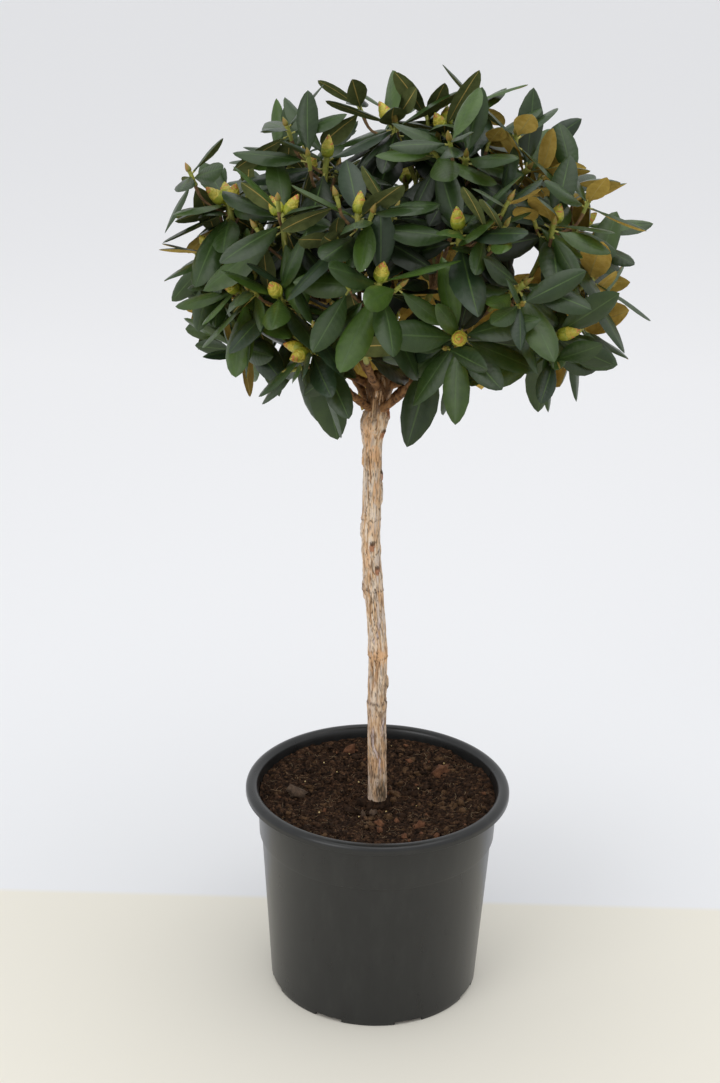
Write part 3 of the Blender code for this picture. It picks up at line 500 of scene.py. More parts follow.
def finish_piece(mesh, materials, slot, *nodes):
    """A finished piece at the origin, named for its mesh, on the one body and standing for its nodes."""
    piece = linked(mesh.name, mesh)
    for material in materials:
        mesh.materials.append(material)
    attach(piece, BODY)
    if nodes:
        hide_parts(*nodes)
    return piece


class Joined:
    """Many small closed shapes gathered into one mesh."""

    def __init__(self):
        self.shapes = []
        self.count = 0

    def add(self, places, template, finishes=0):
        """Places for a template's corners, with one material number or one for each of its faces."""
        numbers = finishes + np.zeros(len(template.sizes))
        self.shapes.append((places, template.corners + self.count, template.sizes, numbers))
        self.count += len(places)

    def whole(self):
        """The places, corners, sizes and finishes of all that was added."""
        return [np.concatenate(rows) for rows in zip(*self.shapes)]

    def mesh(self, name):
        places, corners, sizes, finishes = self.whole()
        mesh = bpy.data.meshes.new(name)
        mesh.vertices.add(len(places))
        mesh.vertices.foreach_set("co", places.astype(np.float32).ravel())
        mesh.loops.add(len(corners))
        mesh.loops.foreach_set("vertex_index", corners.astype(np.int32))
        mesh.polygons.add(len(sizes))
        starts = np.concatenate([[0], np.cumsum(sizes)[:-1]]).astype(np.int32)
        mesh.polygons.foreach_set("loop_start", starts)
        mesh.polygons.foreach_set("material_index", finishes.astype(np.int32))
        mesh.update(calc_edges=True)
        mesh.validate()
        mesh.shade_smooth()
        return mesh


class Template:
    """A small shape: its places, then the corners, the size and the middle of each face."""

    def __init__(self, places, corners, sizes, middles=None):
        self.places = places
        self.corners = corners
        self.sizes = sizes
        self.middles = middles


def template_of(bm):
    """The shape of a bmesh, which isn't needed afterwards."""
    bm.verts.index_update()
    places = np.array([v.co[:] for v in bm.verts])
    corners = np.array([v.index for f in bm.faces for v in f.verts])
    sizes = np.array([len(f.verts) for f in bm.faces])
    middles = np.array([f.calc_center_median()[:] for f in bm.faces])
    bm.free()
    return Template(places, corners, sizes, middles)


def ease(t):
    t = min(max(t, 0), 1)
    return t * t * (3 - 2 * t)


def direction(azimuth, elevation):
    a, e = math.radians(azimuth), math.radians(elevation)
    return Vector((math.cos(e) * math.cos(a), math.cos(e) * math.sin(a), math.sin(e)))


def bend(start, middle, end, parts):
    """Points along a curve that leaves start towards middle and arrives at end."""
    points = []
    for k in range(parts + 1):
        t = k / parts
        points.append(start * (1 - t) ** 2 + middle * 2 * t * (1 - t) + end * t * t)
    return points


def across(axis):
    """Two directions square to an axis and to each other."""
    side = axis.cross(UP)
    if side.length < 0.05:
        side = axis.cross(Vector((0, 1, 0)))
    side.normalize()
    return side, side.cross(axis).normalized()


def tilted(axis, tilt, turn):
    """An axis leaned over by tilt, towards turn round it (degrees)."""
    side, rise = across(axis)
    a, b = math.radians(tilt), math.radians(turn)
    return (axis * math.cos(a) + (side * math.cos(b) + rise * math.sin(b)) * math.sin(a)).normalized()


def trunk_middle(z):
    shift = sum(step * ease((z - low) / (high - low)) for low, high, step in LEANS)
    return Vector((shift, 0, z))


def trunk_radius(z):
    """True taper, root flare, branch scars and the swollen graft."""
    along = (z - TRUNK_FOOT) / (TRUNK_TIP - TRUNK_FOOT)
    radius = TRUNK_RADIUS_LOW + (TRUNK_RADIUS_HIGH - TRUNK_RADIUS_LOW) * along
    radius += TRUNK_FLARE * math.exp(-(z - TRUNK_FOOT) / FLARE_HEIGHT)
    for height, half, stand in SWELLINGS:
        radius += stand * math.exp(-(((z - height) / half) ** 2))
    rounding = (z - (TRUNK_TIP - TIP_ROUNDING)) / TIP_ROUNDING
    if rounding > 0:
        radius *= math.sqrt(max(1 - TIP_NARROWING * rounding * rounding, 0))
    return radius


def bough_path(mass, rings=BOUGH_RINGS):
    """From inside the trunk's head, outwards and up to where the bough enters its mass."""
    height, offset = mass["tier"]
    level = direction(mass["azimuth"], 0)
    start = trunk_middle(height) + level * offset
    tip = FORK + direction(mass["azimuth"], mass["elevation"] - BOUGH_DIP) * BOUGH_REACH
    steep = math.sin(math.radians(mass["elevation"]))
    out = (tip - start).dot(level)
    lift = (tip.z - start.z) * (BOUGH_LIFT[0] + BOUGH_LIFT[1] * steep)
    middle = start + level * out * BOUGH_LEVEL + UP * lift
    return bend(start, middle, tip, rings)


def dome_point(heading):
    """Where a way out of the fork meets the dome of shoot tips."""
    start = FORK - DOME_CENTRE
    scaled = [Vector(v[k] / DOME_HALF[k] for k in range(3)) for v in (start, heading)]
    a = scaled[1].dot(scaled[1])
    b = 2 * scaled[0].dot(scaled[1])
    c = scaled[0].dot(scaled[0]) - 1
    return FORK + heading * (-b + math.sqrt(b * b - 4 * a * c)) / (2 * a)


def outside_reach(point):
    offset = point - REACH_CENTRE
    return sum((offset[k] / REACH_HALF[k]) ** 2 for k in range(3)) > 1


def leaf_line(leaf, s):
    """Place along a leaf's midrib at s of its length, where it bows down from its root."""
    drop = leaf["bow"] * s * s
    return leaf["root"] + (leaf["along"] * s - leaf["face"] * drop) * leaf["length"]


def leaf_corners(leaf, start=0.0, swell=0.0):
    """The corners of a leaf's solid: root, stalk, two pairs on the margins, tip, upper face and keel."""
    side = leaf["along"].cross(leaf["face"]).normalized()
    half = leaf["width"] / 2
    corners = [leaf_line(leaf, start) - leaf["along"] * swell]
    length, share = BLADE_ROOT
    stalk = (STALK_END, STALK_HALF_WIDTH) if start == 0 else (start + length, share * half)
    for s, reach in (stalk, (WIDEST, half), (SHOULDER[0], SHOULDER[1] * half)):
        arch = leaf["face"] * LEAF_ARCH * 2 * reach
        for sign in (-1, 1):
            corners.append(leaf_line(leaf, s) + side * sign * (reach + swell) - arch)
    corners.append(leaf_line(leaf, 1.0) + leaf["along"] * swell)
    corners.append(leaf_line(leaf, WIDEST) + leaf["face"] * (LEAF_CROWN + swell))
    keel = max(STALK_END, start + 2 * length)
    corners.append(leaf_line(leaf, keel) - leaf["face"] * (LEAF_KEEL + swell))
    return corners


UPPER, KEEL = 8, 9
RIGHT_OUTLINE = (0, 2, 4, 6, 7)
LEFT_OUTLINE = (7, 5, 3, 1, 0)
OUTLINE = tuple(zip(RIGHT_OUTLINE, RIGHT_OUTLINE[1:])) + tuple(zip(LEFT_OUTLINE, LEFT_OUTLINE[1:]))
LEAF_FACES = tuple((a, b, UPPER) for a, b in OUTLINE) + tuple((b, a, KEEL) for a, b in OUTLINE)


class Crown:
    """Everything that has grown so far, for finding room for the next leaf."""

    def __init__(self, limbs):
        self.shapes = {}
        self.trees = {}
        self.buds = []
        for piece in limbs:
            self.add("limbs", "body", [v.co.copy() for v in piece.data.vertices],
                     [tuple(p.vertices) for p in piece.data.polygons])

    def add(self, owner, kind, corners, faces):
        places, polygons = self.shapes.setdefault((owner, kind), ([], []))
        first = len(places)
        places.extend(corners)
        polygons.extend(tuple(first + k for k in face) for face in faces)
        self.trees[owner, kind] = BVHTree.FromPolygons(places, polygons)

    def clears_own(self, owner, corners, faces):
        shape = BVHTree.FromPolygons(corners, faces)
        return not any(shape.overlap(tree) for (other, kind), tree in self.trees.items()
                       if other == owner and kind != "stalks")

    def clears_others(self, owner, corners, faces):
        shape = BVHTree.FromPolygons(corners, faces)
        return not any(shape.overlap(tree) for (other, _), tree in self.trees.items() if other != owner)

    def has_room(self, owner, leaf, clearance):
        """A leaf's blade clears its own mass, and the whole leaf clears all else."""
        blade = leaf_corners(leaf, start=BLADE_START, swell=clearance)
        whole = leaf_corners(leaf, swell=clearance)
        return self.clears_own(owner, blade, LEAF_FACES) and self.clears_others(owner, whole, LEAF_FACES)


def tube_corners(points, radii, sides):
    """Corners and faces of a closed tube along points."""
    corners, faces = [], []
    for k, place in enumerate(points):
        ahead = points[min(k + 1, len(points) - 1)] - points[max(k - 1, 0)]
        side, rise = across(ahead.normalized())
        for n in range(sides):
            angle = math.tau * n / sides
            corners.append(place + (side * math.cos(angle) + rise * math.sin(angle)) * radii[k])
    for k in range(len(points) - 1):
        for n in range(sides):
            a, b = k * sides + n, k * sides + (n + 1) % sides
            faces.append((a, b, b + sides, a + sides))
    faces.append(tuple(reversed(range(sides))))
    faces.append(tuple(range(len(corners) - sides, len(corners))))
    return corners, faces


def in_own_space(name, place, hearts):
    own = (place - hearts[name]).length
    others = [heart for other, heart in hearts.items() if other != name]
    return all(own - (place - heart).length < SPACE_MARGIN for heart in others)


def shoot_ways():
    """The way from the fork to each shoot's tip, its share of the dome, and how many buds it bears."""
    ways = [(direction(azimuth, elevation), share, buds) for azimuth, elevation, share, buds in BUDDED_SHOOTS]
    low = math.sin(math.radians(LOWEST_SHOOT))
    opening = direction(*OPEN_WAY)
    for k in range(SPREAD_SHOOTS):
        rise = low + (1 - low) * (k + 0.5) / SPREAD_SHOOTS
        way = direction(GOLDEN_TURN * k, math.degrees(math.asin(rise)))
        clear = all(math.degrees(way.angle(other)) > SHOOT_SPACING for other, _, _ in ways)
        if clear and math.degrees(way.angle(opening)) > OPEN_SPREAD:
            buds = 1 + k % 2 if k % BUD_EVERY < BUD_OF else 0
            ways.append((way, DOME_SHARE + SHARE_STEP * (k % SHARE_STEPS), buds))
    return ways


def shoots_by_mass():
    """Each shoot belongs to the mass that lies nearest its way."""
    shoots = {name: [] for name in MASSES}
    for way, share, budded in shoot_ways():
        def away(name):
            return way.angle(direction(MASSES[name]["azimuth"], MASSES[name]["elevation"]))
        shoots[min(MASSES, key=away)].append((way, share, budded))
    return shoots


def grow_twigs(name, mass, shoots, crown):
    """The stem out of the bough's tip, and the shoots that fork from it up to the dome."""
    path = bough_path(mass)
    heading = (path[-1] - path[-2]).normalized()
    start = path[-1] + heading * GAP
    fork = start + heading * STEM_LENGTH
    twigs = [twig_of([start], fork, heading, STEM_RADIUS, tip=False, buds=0)]
    for way, share, buds in shoots:
        goal = FORK + (dome_point(way) - FORK) * share
        span = (goal - fork).length
        leaving = (heading * STEM_PULL + (goal - fork).normalized()).normalized()
        control = fork + leaving * span * SHOOT_BEND - UP * span * SHOOT_SAG
        axis = (goal - control).normalized()
        points = bend(fork - heading * FORK_OVERLAP, control, goal - axis * CROWDED_LENGTH, SHOOT_PARTS)
        twig = twig_of(points[:-1], goal, axis, SHOOT_RADIUS, tip=True, buds=buds)
        shape = tube_corners(twig["points"][1:], twig["radii"][1:], TWIG_SIDES)
        if crown.clears_others(name, *shape):
            twigs.append(twig)
    return twigs


def twig_of(points, end, axis, radius, tip, buds):
    """A twig through points to its thick end, which lies along an axis."""
    points = points + [end - axis * CROWDED_LENGTH, end]
    radii = [radius] * (len(points) - 2) + [CROWDED_RADIUS, CROWDED_RADIUS]
    return dict(points=points, radii=radii, axis=axis, tip=tip, buds=buds)


def whorl(twig, count, opening, rng, age):
    """The leaves round a twig's end, from the youngest at the top to the oldest below."""
    leaves = []
    axis = twig["axis"]
    first = rng.uniform(0, 360)
    for k in range(count):
        share = k / max(count - 1, 1)
        open_by = opening[0] + (opening[1] - opening[0]) * share
        open_by += rng.uniform(-OPENING_SPREAD, OPENING_SPREAD)
        along = tilted(axis, open_by, first + GOLDEN_TURN * k + rng.uniform(-TURN_SPREAD, TURN_SPREAD))
        along = (along - UP * (DROOP[0] + DROOP[1] * share + DROOP[2] * age)).normalized()
        length = LEAF_LENGTH * (LENGTHS[0] + LENGTHS[1] * share + LENGTHS[2] * age)
        length *= rng.uniform(*LENGTH_SPREAD)
        leaves.append(dict(
            foot=twig["points"][-1] - axis * (BARE_TIP + LEAF_STEP * k), along=along, axis=axis,
            length=length, width=length * LEAF_ASPECT * rng.uniform(*WIDTH_SPREAD),
            bow=rng.uniform(*BOW_SPREAD) + AGED_BOW * age,
            twist=rng.uniform(-LEAF_TWIST, LEAF_TWIST), seed=rng.random()))
    return leaves


def face_leaf(leaf, along, twist):
    """Turn a leaf to a heading, with its upper face to its shoot's tip and a little to the sky."""
    face = leaf["axis"] + UP * SKY_PULL
    face = face - along * face.dot(along)
    if face.length < 0.1:
        face = across(along)[1]
    face = Matrix.Rotation(math.radians(twist), 3, along) @ face.normalized()
    outward = (along - leaf["axis"] * along.dot(leaf["axis"])).normalized()
    return dict(leaf, root=leaf["foot"] - outward * ROOT_DEPTH, along=along, face=face)


def in_a_window(leaf):
    """Whether a leaf hangs before the graft, or across the gap of sky, as seen from the front."""
    for s in SEEN_AT:
        place = leaf_line(leaf, s)
        seen = VIEWER + (place - VIEWER) * (VIEWER.y / (VIEWER.y - place.y))
        hides_graft = place.y < FORK.y and seen.z < GRAFT_TOP and abs(seen.x - FORK.x) < GRAFT_HALF
        if hides_graft or (seen - SKY_GAP).length < SKY_GAP_RADIUS:
            return True
    return False


def hides_a_bud(leaf, buds):
    """Whether a leaf hangs before a flower bud, as seen from the front."""
    for bud in buds:
        sight = bud["foot"] + bud["axis"] * BUD_LENGTH / 2 - VIEWER
        for s in SEEN_AT:
            offset = leaf_line(leaf, s) - VIEWER
            share = offset.dot(sight) / sight.length_squared
            if share < 1 and (offset - sight * share).length < BUD_SIGHT_RADIUS:
                return True
    return False


def settle_leaf(name, leaf, crown, hearts, clearance, buds=()):
    """Turn a leaf until it has room and leaves these buds in sight, or give it up."""
    tries = random.Random(leaf["seed"])
    along, twist = leaf["along"], leaf["twist"]
    for k in range(TRIES):
        turned = face_leaf(leaf, along, twist)
        fits = in_own_space(name, leaf_line(turned, LEAF_HEART), hearts)
        fits = fits and not outside_reach(leaf_line(turned, 1.0)) and not in_a_window(turned)
        fits = fits and not hides_a_bud(turned, buds)
        if fits and crown.has_room(name, turned, clearance):
            crown.add(name, "body", leaf_corners(turned, start=BLADE_START), LEAF_FACES)
            crown.add(name, "stalks", leaf_corners(turned), LEAF_FACES)
            return turned
        sway = FIRST_SWAY + SWAY_STEP * k
        leaf = dict(leaf, length=leaf["length"] * SHRINK, width=leaf["width"] * SHRINK)
        along = tilted(leaf["along"], tries.uniform(LEAST_SWAY, 1) * sway, tries.uniform(0, 360))
        twist = leaf["twist"] + tries.uniform(-1, 1) * sway * TWIST_SWAY
    return None


def bud_corners(bud):
    """A pointed scaly bud as a turned drop."""
    points = [bud["foot"] + bud["axis"] * BUD_LENGTH * s for s, _ in BUD_STATIONS]
    return tube_corners(points, [BUD_RADIUS * wide for _, wide in BUD_STATIONS], BUD_SIDES)


def grow_crown(limbs):
    """Twigs first, then the leaves round each tip, then the older leaves at each fork."""
    crown = Crown(limbs)
    hearts = {n: FORK + direction(m["azimuth"], m["elevation"]) * HEART_REACH for n, m in MASSES.items()}
    draws = {name: random.Random(mass["seed"]) for name, mass in MASSES.items()}
    grown = {name: dict(twigs=[], leaves=[], buds=[], spurs=[]) for name in MASSES}
    shoots = shoots_by_mass()
    for name, mass in MASSES.items():
        grown[name]["twigs"] = grow_twigs(name, mass, shoots[name], crown)
        for twig in grown[name]["twigs"]:
            crown.add(name, "body", *tube_corners(twig["points"], twig["radii"], TWIG_SIDES))
    for name, parts in grown.items():
        for twig in parts["twigs"]:
            if twig["tip"] and twig["buds"]:
                bud = dict(foot=twig["points"][-1] - twig["axis"] * BUD_SINK, axis=twig["axis"],
                           count=twig["buds"])
                parts["buds"].append(bud)
                crown.add(name, "body", *bud_corners(bud))
    for name, parts in grown.items():
        rng = draws[name]
        for twig in parts["twigs"]:
            if twig["tip"]:
                leaves = whorl(twig, ROSETTE_LEAVES, ROSETTE_OPENING, rng, 0)
            else:
                leaves = whorl(twig, NODE_LEAVES, NODE_OPENING, rng, 1)
            for leaf in leaves:
                settled = settle_leaf(name, leaf, crown, hearts, LEAF_CLEARANCE)
                if settled:
                    parts["leaves"].append(settled)
    crown.buds = [bud for parts in grown.values() for bud in parts["buds"]]
    for name, parts in grown.items():
        grow_finer(name, parts, crown, hearts, draws[name])
    return grown


def grow_finer(name, parts, crown, hearts, rng):
    """Older leaves below the rosettes, and short side shoots with leaves of their own."""
    for twig in [t for t in parts["twigs"] if t["tip"]]:
        for leaf in whorl(twig, LATE_LEAVES, LATE_OPENING, rng, LATE_AGE):
            leaf["foot"] = leaf["foot"] - leaf["axis"] * (ROSETTE_LEAVES * LEAF_STEP + LATE_DROP)
            keep_leaf(name, leaf, parts, crown, hearts)
        for n in range(HIGH_SPURS if twig["points"][-1].z > HIGH_TIP else SPURS):
            spur = spur_of(twig, n, rng)
            shape = tube_corners(spur["points"][1:], spur["radii"][1:], TWIG_SIDES)
            if crown.clears_others(name, *shape) and in_own_space(name, spur["points"][-1], hearts):
                parts["spurs"].append(spur)
                crown.add(name, "body", *shape)
                for leaf in whorl(spur, SPUR_LEAVES, SPUR_OPENING, rng, SPUR_AGE):
                    leaf.update(length=leaf["length"] * SPUR_LEAF, width=leaf["width"] * SPUR_LEAF)
                    keep_leaf(name, leaf, parts, crown, hearts)


def keep_leaf(name, leaf, parts, crown, hearts):
    settled = settle_leaf(name, leaf, crown, hearts, THIN_CLEARANCE, crown.buds)
    if settled and leaf_line(settled, 1.0).z > LOWEST_LATE_TIP:
        parts["leaves"].append(settled)


def spur_of(twig, n, rng):
    """A short side shoot that leaves a shoot part of the way up."""
    share, rise, stretch = SPUR_FORMS[n]
    base = twig["points"][2].lerp(twig["points"][3], share)
    heading = (twig["points"][3] - twig["points"][2]).normalized()
    way = tilted(heading, rng.uniform(*SPUR_TILT), rng.uniform(0, 360))
    length = SPUR_LENGTH * stretch * rng.uniform(*SPUR_SPREAD)
    axis = (way + UP * rise).normalized()
    middle = base + way * length * 0.5
    end = middle + axis * length * 0.5
    points = [base, middle, end - axis * SPUR_TIP, end]
    radii = [SPUR_RADIUS] * 2 + [SPUR_RADIUS * SPUR_TIP_SWELL] * 2
    return dict(points=points, radii=radii, axis=axis, tip=True, buds=0)


# The blade's form
LEAF_STATIONS = (0, 0.12, 0.17, 0.27, 0.41, 0.57, 0.73, 0.87, 0.955, 1.0)
LEAF_COLUMNS = (-1.0, -0.55, -0.05, 0.05, 0.55, 1.0)
LEAF_THICKNESS = 0.7 * MM
STALK_RADIUS = 1.25 * MM
RIB_STAND = 1.1 * MM          # how far the midrib stands out below
RIB_HALF = 0.1                # of the half width
BLADE_SKEW = (0.98, 1.22)     # which way its widest part is pulled
BLADE_FULLNESS = (0.54, 0.74)   # the lower, the fuller its ends
BLADE_RUN = 0.1               # share of the length over which the stalk widens and flattens
FURROW = 0.20                 # how steeply the halves rise from the midrib
ROLL = (0.30, 0.55)           # and how far the margins roll under again
ROLL_POWER = 2.8
WAVE = (0.02, 0.06)
WAVES = (5, 9)
WAVE_START = (0, 6)
BLADE_TURN = 0.45             # radians that it may wind up to its tip
BLADE_SWAY = 0.07             # how far its tip may bend sideways, over its length
SHARP_LEAF_EDGE = 75          # degrees
UPPERS = len(LEAF_GREENS)
LOWERS = len(FELTS)
THICK_FELTS = 3
GREEN_SHARES = (0, 0, 0, 1, 1, 2, 3, 4)   # how common each green is
RIB_ABOVE, RIB_BELOW, STALK = UPPERS + LOWERS, UPPERS + LOWERS + 1, UPPERS + LOWERS + 2


def leaf_template():
    """A flat leaf as a thin closed shell: x along it, y across it, and z its upper or lower side.

    A leaf's own axes are a mirror image of these, so the shell is turned inside out here.
    """
    rows, columns = len(LEAF_STATIONS) - 1, len(LEAF_COLUMNS) - 1
    bm = bmesh.new()
    bmesh.ops.create_grid(bm, x_segments=rows, y_segments=columns, size=1)
    bmesh.ops.solidify(bm, geom=bm.faces[:], thickness=1)
    middle = sum(corner.co.z for corner in bm.verts) / len(bm.verts)
    for corner in bm.verts:
        row = round((corner.co.x + 1) / 2 * rows)
        column = round((corner.co.y + 1) / 2 * columns)
        edge = row in (0, rows) or column in (0, columns)
        layer = 0 if edge else math.copysign(1, corner.co.z - middle)
        corner.co = (LEAF_STATIONS[row], LEAF_COLUMNS[column], layer)
    bmesh.ops.remove_doubles(bm, verts=bm.verts, dist=0.001)
    bmesh.ops.recalc_face_normals(bm, faces=bm.faces)
    bmesh.ops.reverse_faces(bm, faces=bm.faces)
    return template_of(bm)


def shaped_leaf(leaf, template, rng):
    """A leaf's corners: bowed along its length, furrowed at the midrib and rolled under at the margins."""
    s, u, layer = template.places.T
    t = np.clip((s - STALK_END) / (1 - STALK_END), 0, 1)
    half = leaf["width"] / 2 * np.sin(np.pi * t ** rng.uniform(*BLADE_SKEW)) ** rng.uniform(*BLADE_FULLNESS)
    half = np.maximum(half, STALK_RADIUS * (s < LEAF_STATIONS[-1]))
    on_blade = np.clip((s - STALK_END) / BLADE_RUN, 0, 1)
    roll = rng.uniform(*ROLL)
    wave = rng.uniform(*WAVE) * np.sin(s * rng.uniform(*WAVES) + rng.uniform(*WAVE_START)) * u
    height = (FURROW * np.abs(u) - roll * np.abs(u) ** ROLL_POWER + wave) * half * on_blade
    rib = np.where(np.abs(u) < RIB_HALF, RIB_STAND * (1 - s) * on_blade, 0)
    thick = LEAF_THICKNESS / 2 + (STALK_RADIUS - LEAF_THICKNESS / 2) * (1 - on_blade)
    height = height + layer * thick - rib * (layer < 0)
    along, face = np.array(leaf["along"]), np.array(leaf["face"])
    side = np.cross(along, face)
    turn = rng.uniform(-BLADE_TURN, BLADE_TURN) * s
    sway = rng.uniform(-BLADE_SWAY, BLADE_SWAY)
    tangent = along[None] - 2 * leaf["bow"] * s[:, None] * face[None]
    tangent /= np.linalg.norm(tangent, axis=1)[:, None]
    normal = np.cross(side[None], tangent)
    sideways = side[None] * np.cos(turn)[:, None] + normal * np.sin(turn)[:, None]
    upwards = normal * np.cos(turn)[:, None] - side[None] * np.sin(turn)[:, None]
    line = np.array(leaf["root"])[None] + leaf["length"] * (
        along[None] * s[:, None] + (side * sway - face * leaf["bow"])[None] * (s * s)[:, None])
    return line + sideways * (u * half)[:, None] + upwards * height[:, None]


def leaf_finishes(template, upper, lower):
    """Each face's material number, for a leaf of these two tones."""
    s, u, layer = template.middles.T
    finish = np.where(layer > 0, upper, UPPERS + lower)
    rib = np.abs(u) < RIB_HALF
    finish[rib] = np.where(layer[rib] > 0, RIB_ABOVE, RIB_BELOW)
    finish[s < LEAF_STATIONS[1]] = STALK
    return finish


def leaf_tones(leaf, rng):
    """The number of a leaf's green and of its felt, from where it grows, with painted shade deep in the crown
    and painted light on the right side's felts.
    """
    upper, lower = rng.choice(GREEN_SHARES), rng.randrange(THICK_FELTS)
    heart = leaf_line(leaf, LEAF_HEART)
    offset = leaf_line(leaf, 0.5) - REACH_CENTRE
    # Painted shade: a leaf deep in the crown takes the darkest green
    if sum((offset[k] / REACH_HALF[k]) ** 2 for k in range(3)) < DEEP_SHARE ** 2:
        upper = PAINTED_SHADE_GREEN
    # Painted light: on the right side the brightest golden felts are kept, and elsewhere the brightest felt
    # gives way to the thin one
    if heart.x > GOLDEN_AND_LIT_SIDE:
        lower = lower % 2
    elif heart.z > THIN_FROM or lower == 0:
        lower = THIN_FELT
    return upper, lower


def make_leaves(grown, materials):
    """One piece of joined leaves for each mass of the crown."""
    template = leaf_template()
    for name, parts in grown.items():
        rng = random.Random(MASSES[name]["seed"] * 7)
        joined = Joined()
        for leaf in parts["leaves"]:
            finishes = leaf_finishes(template, *leaf_tones(leaf, rng))
            joined.add(shaped_leaf(leaf, template, rng), template, finishes)
        mesh = joined.mesh(f"leaves_{name}")
        mesh.set_sharp_from_angle(angle=math.radians(SHARP_LEAF_EDGE))
        blade = np.tile(template.places[template.corners, :2], (len(parts["leaves"]), 1))
        mesh.uv_layers.new(name="blade").data.foreach_set("uv", blade.astype(np.float32).ravel())
        finish_piece(mesh, materials, "foliage", f"foliage_{name}")


def smooth_line(points, parts):
    """More points along a run of points, on a curve through them."""
    line = []
    for k in range(len(points) - 1):
        before = points[max(k - 1, 0)]
        after = points[min(k + 2, len(points) - 1)]
        a, b = points[k], points[k + 1]
        for n in range(parts):
            t = n / parts
            line.append(0.5 * (2 * a + (b - before) * t + (2 * before - 5 * a + 4 * b - after) * t * t
                               + (3 * a - before - 3 * b + after) * t ** 3))
    line.append(points[-1])
    return line


def tube_template(rings, sides):
    """A capped tube: x round it and z the ring's number."""
    bm = bmesh.new()
    bmesh.ops.create_cone(bm, cap_ends=True, segments=sides, radius1=1, radius2=1, depth=2)
    long_edges = [e for e in bm.edges if abs(e.verts[0].co.z - e.verts[1].co.z) > 1]
    if rings > 2:
        bmesh.ops.subdivide_edges(bm, edges=long_edges, cuts=rings - 2, use_grid_fill=False)
    for corner in bm.verts:
        corner.co.z = round((corner.co.z + 1) / 2 * (rings - 1))
    bmesh.ops.recalc_face_normals(bm, faces=bm.faces)
    return template_of(bm)


def swept(template, points, radii):
    """A tube template's corners, placed along points with a radius at each."""
    frames = []
    side = None
    for k, place in enumerate(points):
        ahead = (points[min(k + 1, len(points) - 1)] - points[max(k - 1, 0)]).normalized()
        side = across(ahead)[0] if side is None else (side - ahead * side.dot(ahead)).normalized()
        frames.append((place, side, ahead.cross(side), radii[k]))
    rings = template.places[:, 2].round().astype(int)
    place = np.array([f[0][:] for f in frames])[rings]
    sides = np.array([f[1][:] for f in frames])[rings]
    rises = np.array([f[2][:] for f in frames])[rings]
    wide = np.array([f[3] for f in frames])[rings][:, None]
    return place + (sides * template.places[:, :1] + rises * template.places[:, 1:2]) * wide


TWIG_POINTS = 5               # between each two of its own
FINE_TWIG_SIDES = 9
LEAF_SCARS = (0.10, 2.4)      # ripple of the crowded end: share of its radius, and radians from ring to ring
GREEN_SHOOT = 0.52            # share of its length from which a twig is young and green


def make_twigs(grown, materials):
    """All the twigs as one piece: brown where they are old, green near their tips."""
    joined = Joined()
    for parts in grown.values():
        for twig in parts["twigs"] + parts["spurs"]:
            points = smooth_line(twig["points"], TWIG_POINTS)
            given = twig["radii"]
            radii = []
            for k in range(len(points)):
                at = k / (len(points) - 1) * (len(given) - 1)
                low = min(int(at), len(given) - 2)
                radius = given[low] + (given[low + 1] - given[low]) * ease(at - low)
                scar = 1 + LEAF_SCARS[0] * math.cos(k * LEAF_SCARS[1]) * (at > len(given) - 2)
                radii.append(radius * scar)
            template = tube_template(len(points), FINE_TWIG_SIDES)
            ring = template.middles[:, 2] / (len(points) - 1)
            joined.add(swept(template, points, radii), template, np.where(ring > GREEN_SHOOT, 0, 1))
    finish_piece(joined.mesh("twigs"), materials, "foliage")


# A flower bud: scales wound round a core. Heights are shares of the bud's length, widths of its radius
SCALES = 15
SCALE_ROWS = 5
SCALE_COLUMNS = 4
SCALE_FEET = (0.70, 0.9)      # height of the last foot, and the power that crowds them towards it
SCALE_REACH = (0.44, 0.15)    # of the first scale, and how much less that of the last
SCALE_WRAP = 1.25             # radians that a scale reaches round the bud each way
SCALE_TAPER = (0.25, 0.76, 2.4)   # where it begins, its run and its power
SCALE_TIP = 0.02              # radians of a scale's blunt tip
BUD_STALK = 0.14
BUD_CORE = (0.9, 0.96)        # its width and its top
CORE_RINGS, CORE_SIDES = 9, 10
GREEN, YELLOW, FLUSHED = range(3)
YELLOW_FROM = 0.42
FLUSHED_FROM = 0.86
FLUSHED_TIP = (0.85, 0.55)    # the end of every other scale too, above this height
BUD_LEAN = ((0, 8), (28, 42))   # degrees, of a single bud and of several
BUD_TURN = 25                 # degrees
BUD_STRETCH = (1.0, 1.22)
BUD_SWELL = (0.92, 1.08)
RESTING_STRETCH = (0.8, 1.2)
RESTING_SWELL = (0.9, 1.1)
RESTING_SIDES = 8
RESTING_SINK = 1.5 * MM
RESTING_TIP = 0.06


def scale_template():
    """One bud scale as a thin closed shell: x up it, y across it, and z its outer or inner side."""
    bm = bmesh.new()
    bmesh.ops.create_grid(bm, x_segments=SCALE_ROWS, y_segments=SCALE_COLUMNS, size=1)
    bmesh.ops.solidify(bm, geom=bm.faces[:], thickness=1)
    bmesh.ops.recalc_face_normals(bm, faces=bm.faces)
    middle = sum(v.co.z for v in bm.verts) / len(bm.verts)
    for corner in bm.verts:
        corner.co = ((corner.co.x + 1) / 2, corner.co.y, 1 if corner.co.z > middle else -1)
    return template_of(bm)


def bud_girth(t):
    """A bud's radius at t of its length, over its widest."""
    t = np.clip(t, 0, 1)
    return np.sin(np.pi * t ** 0.64) ** 0.82 * (1 - 0.1 * t) + 0.34 * (1 - t) ** 4


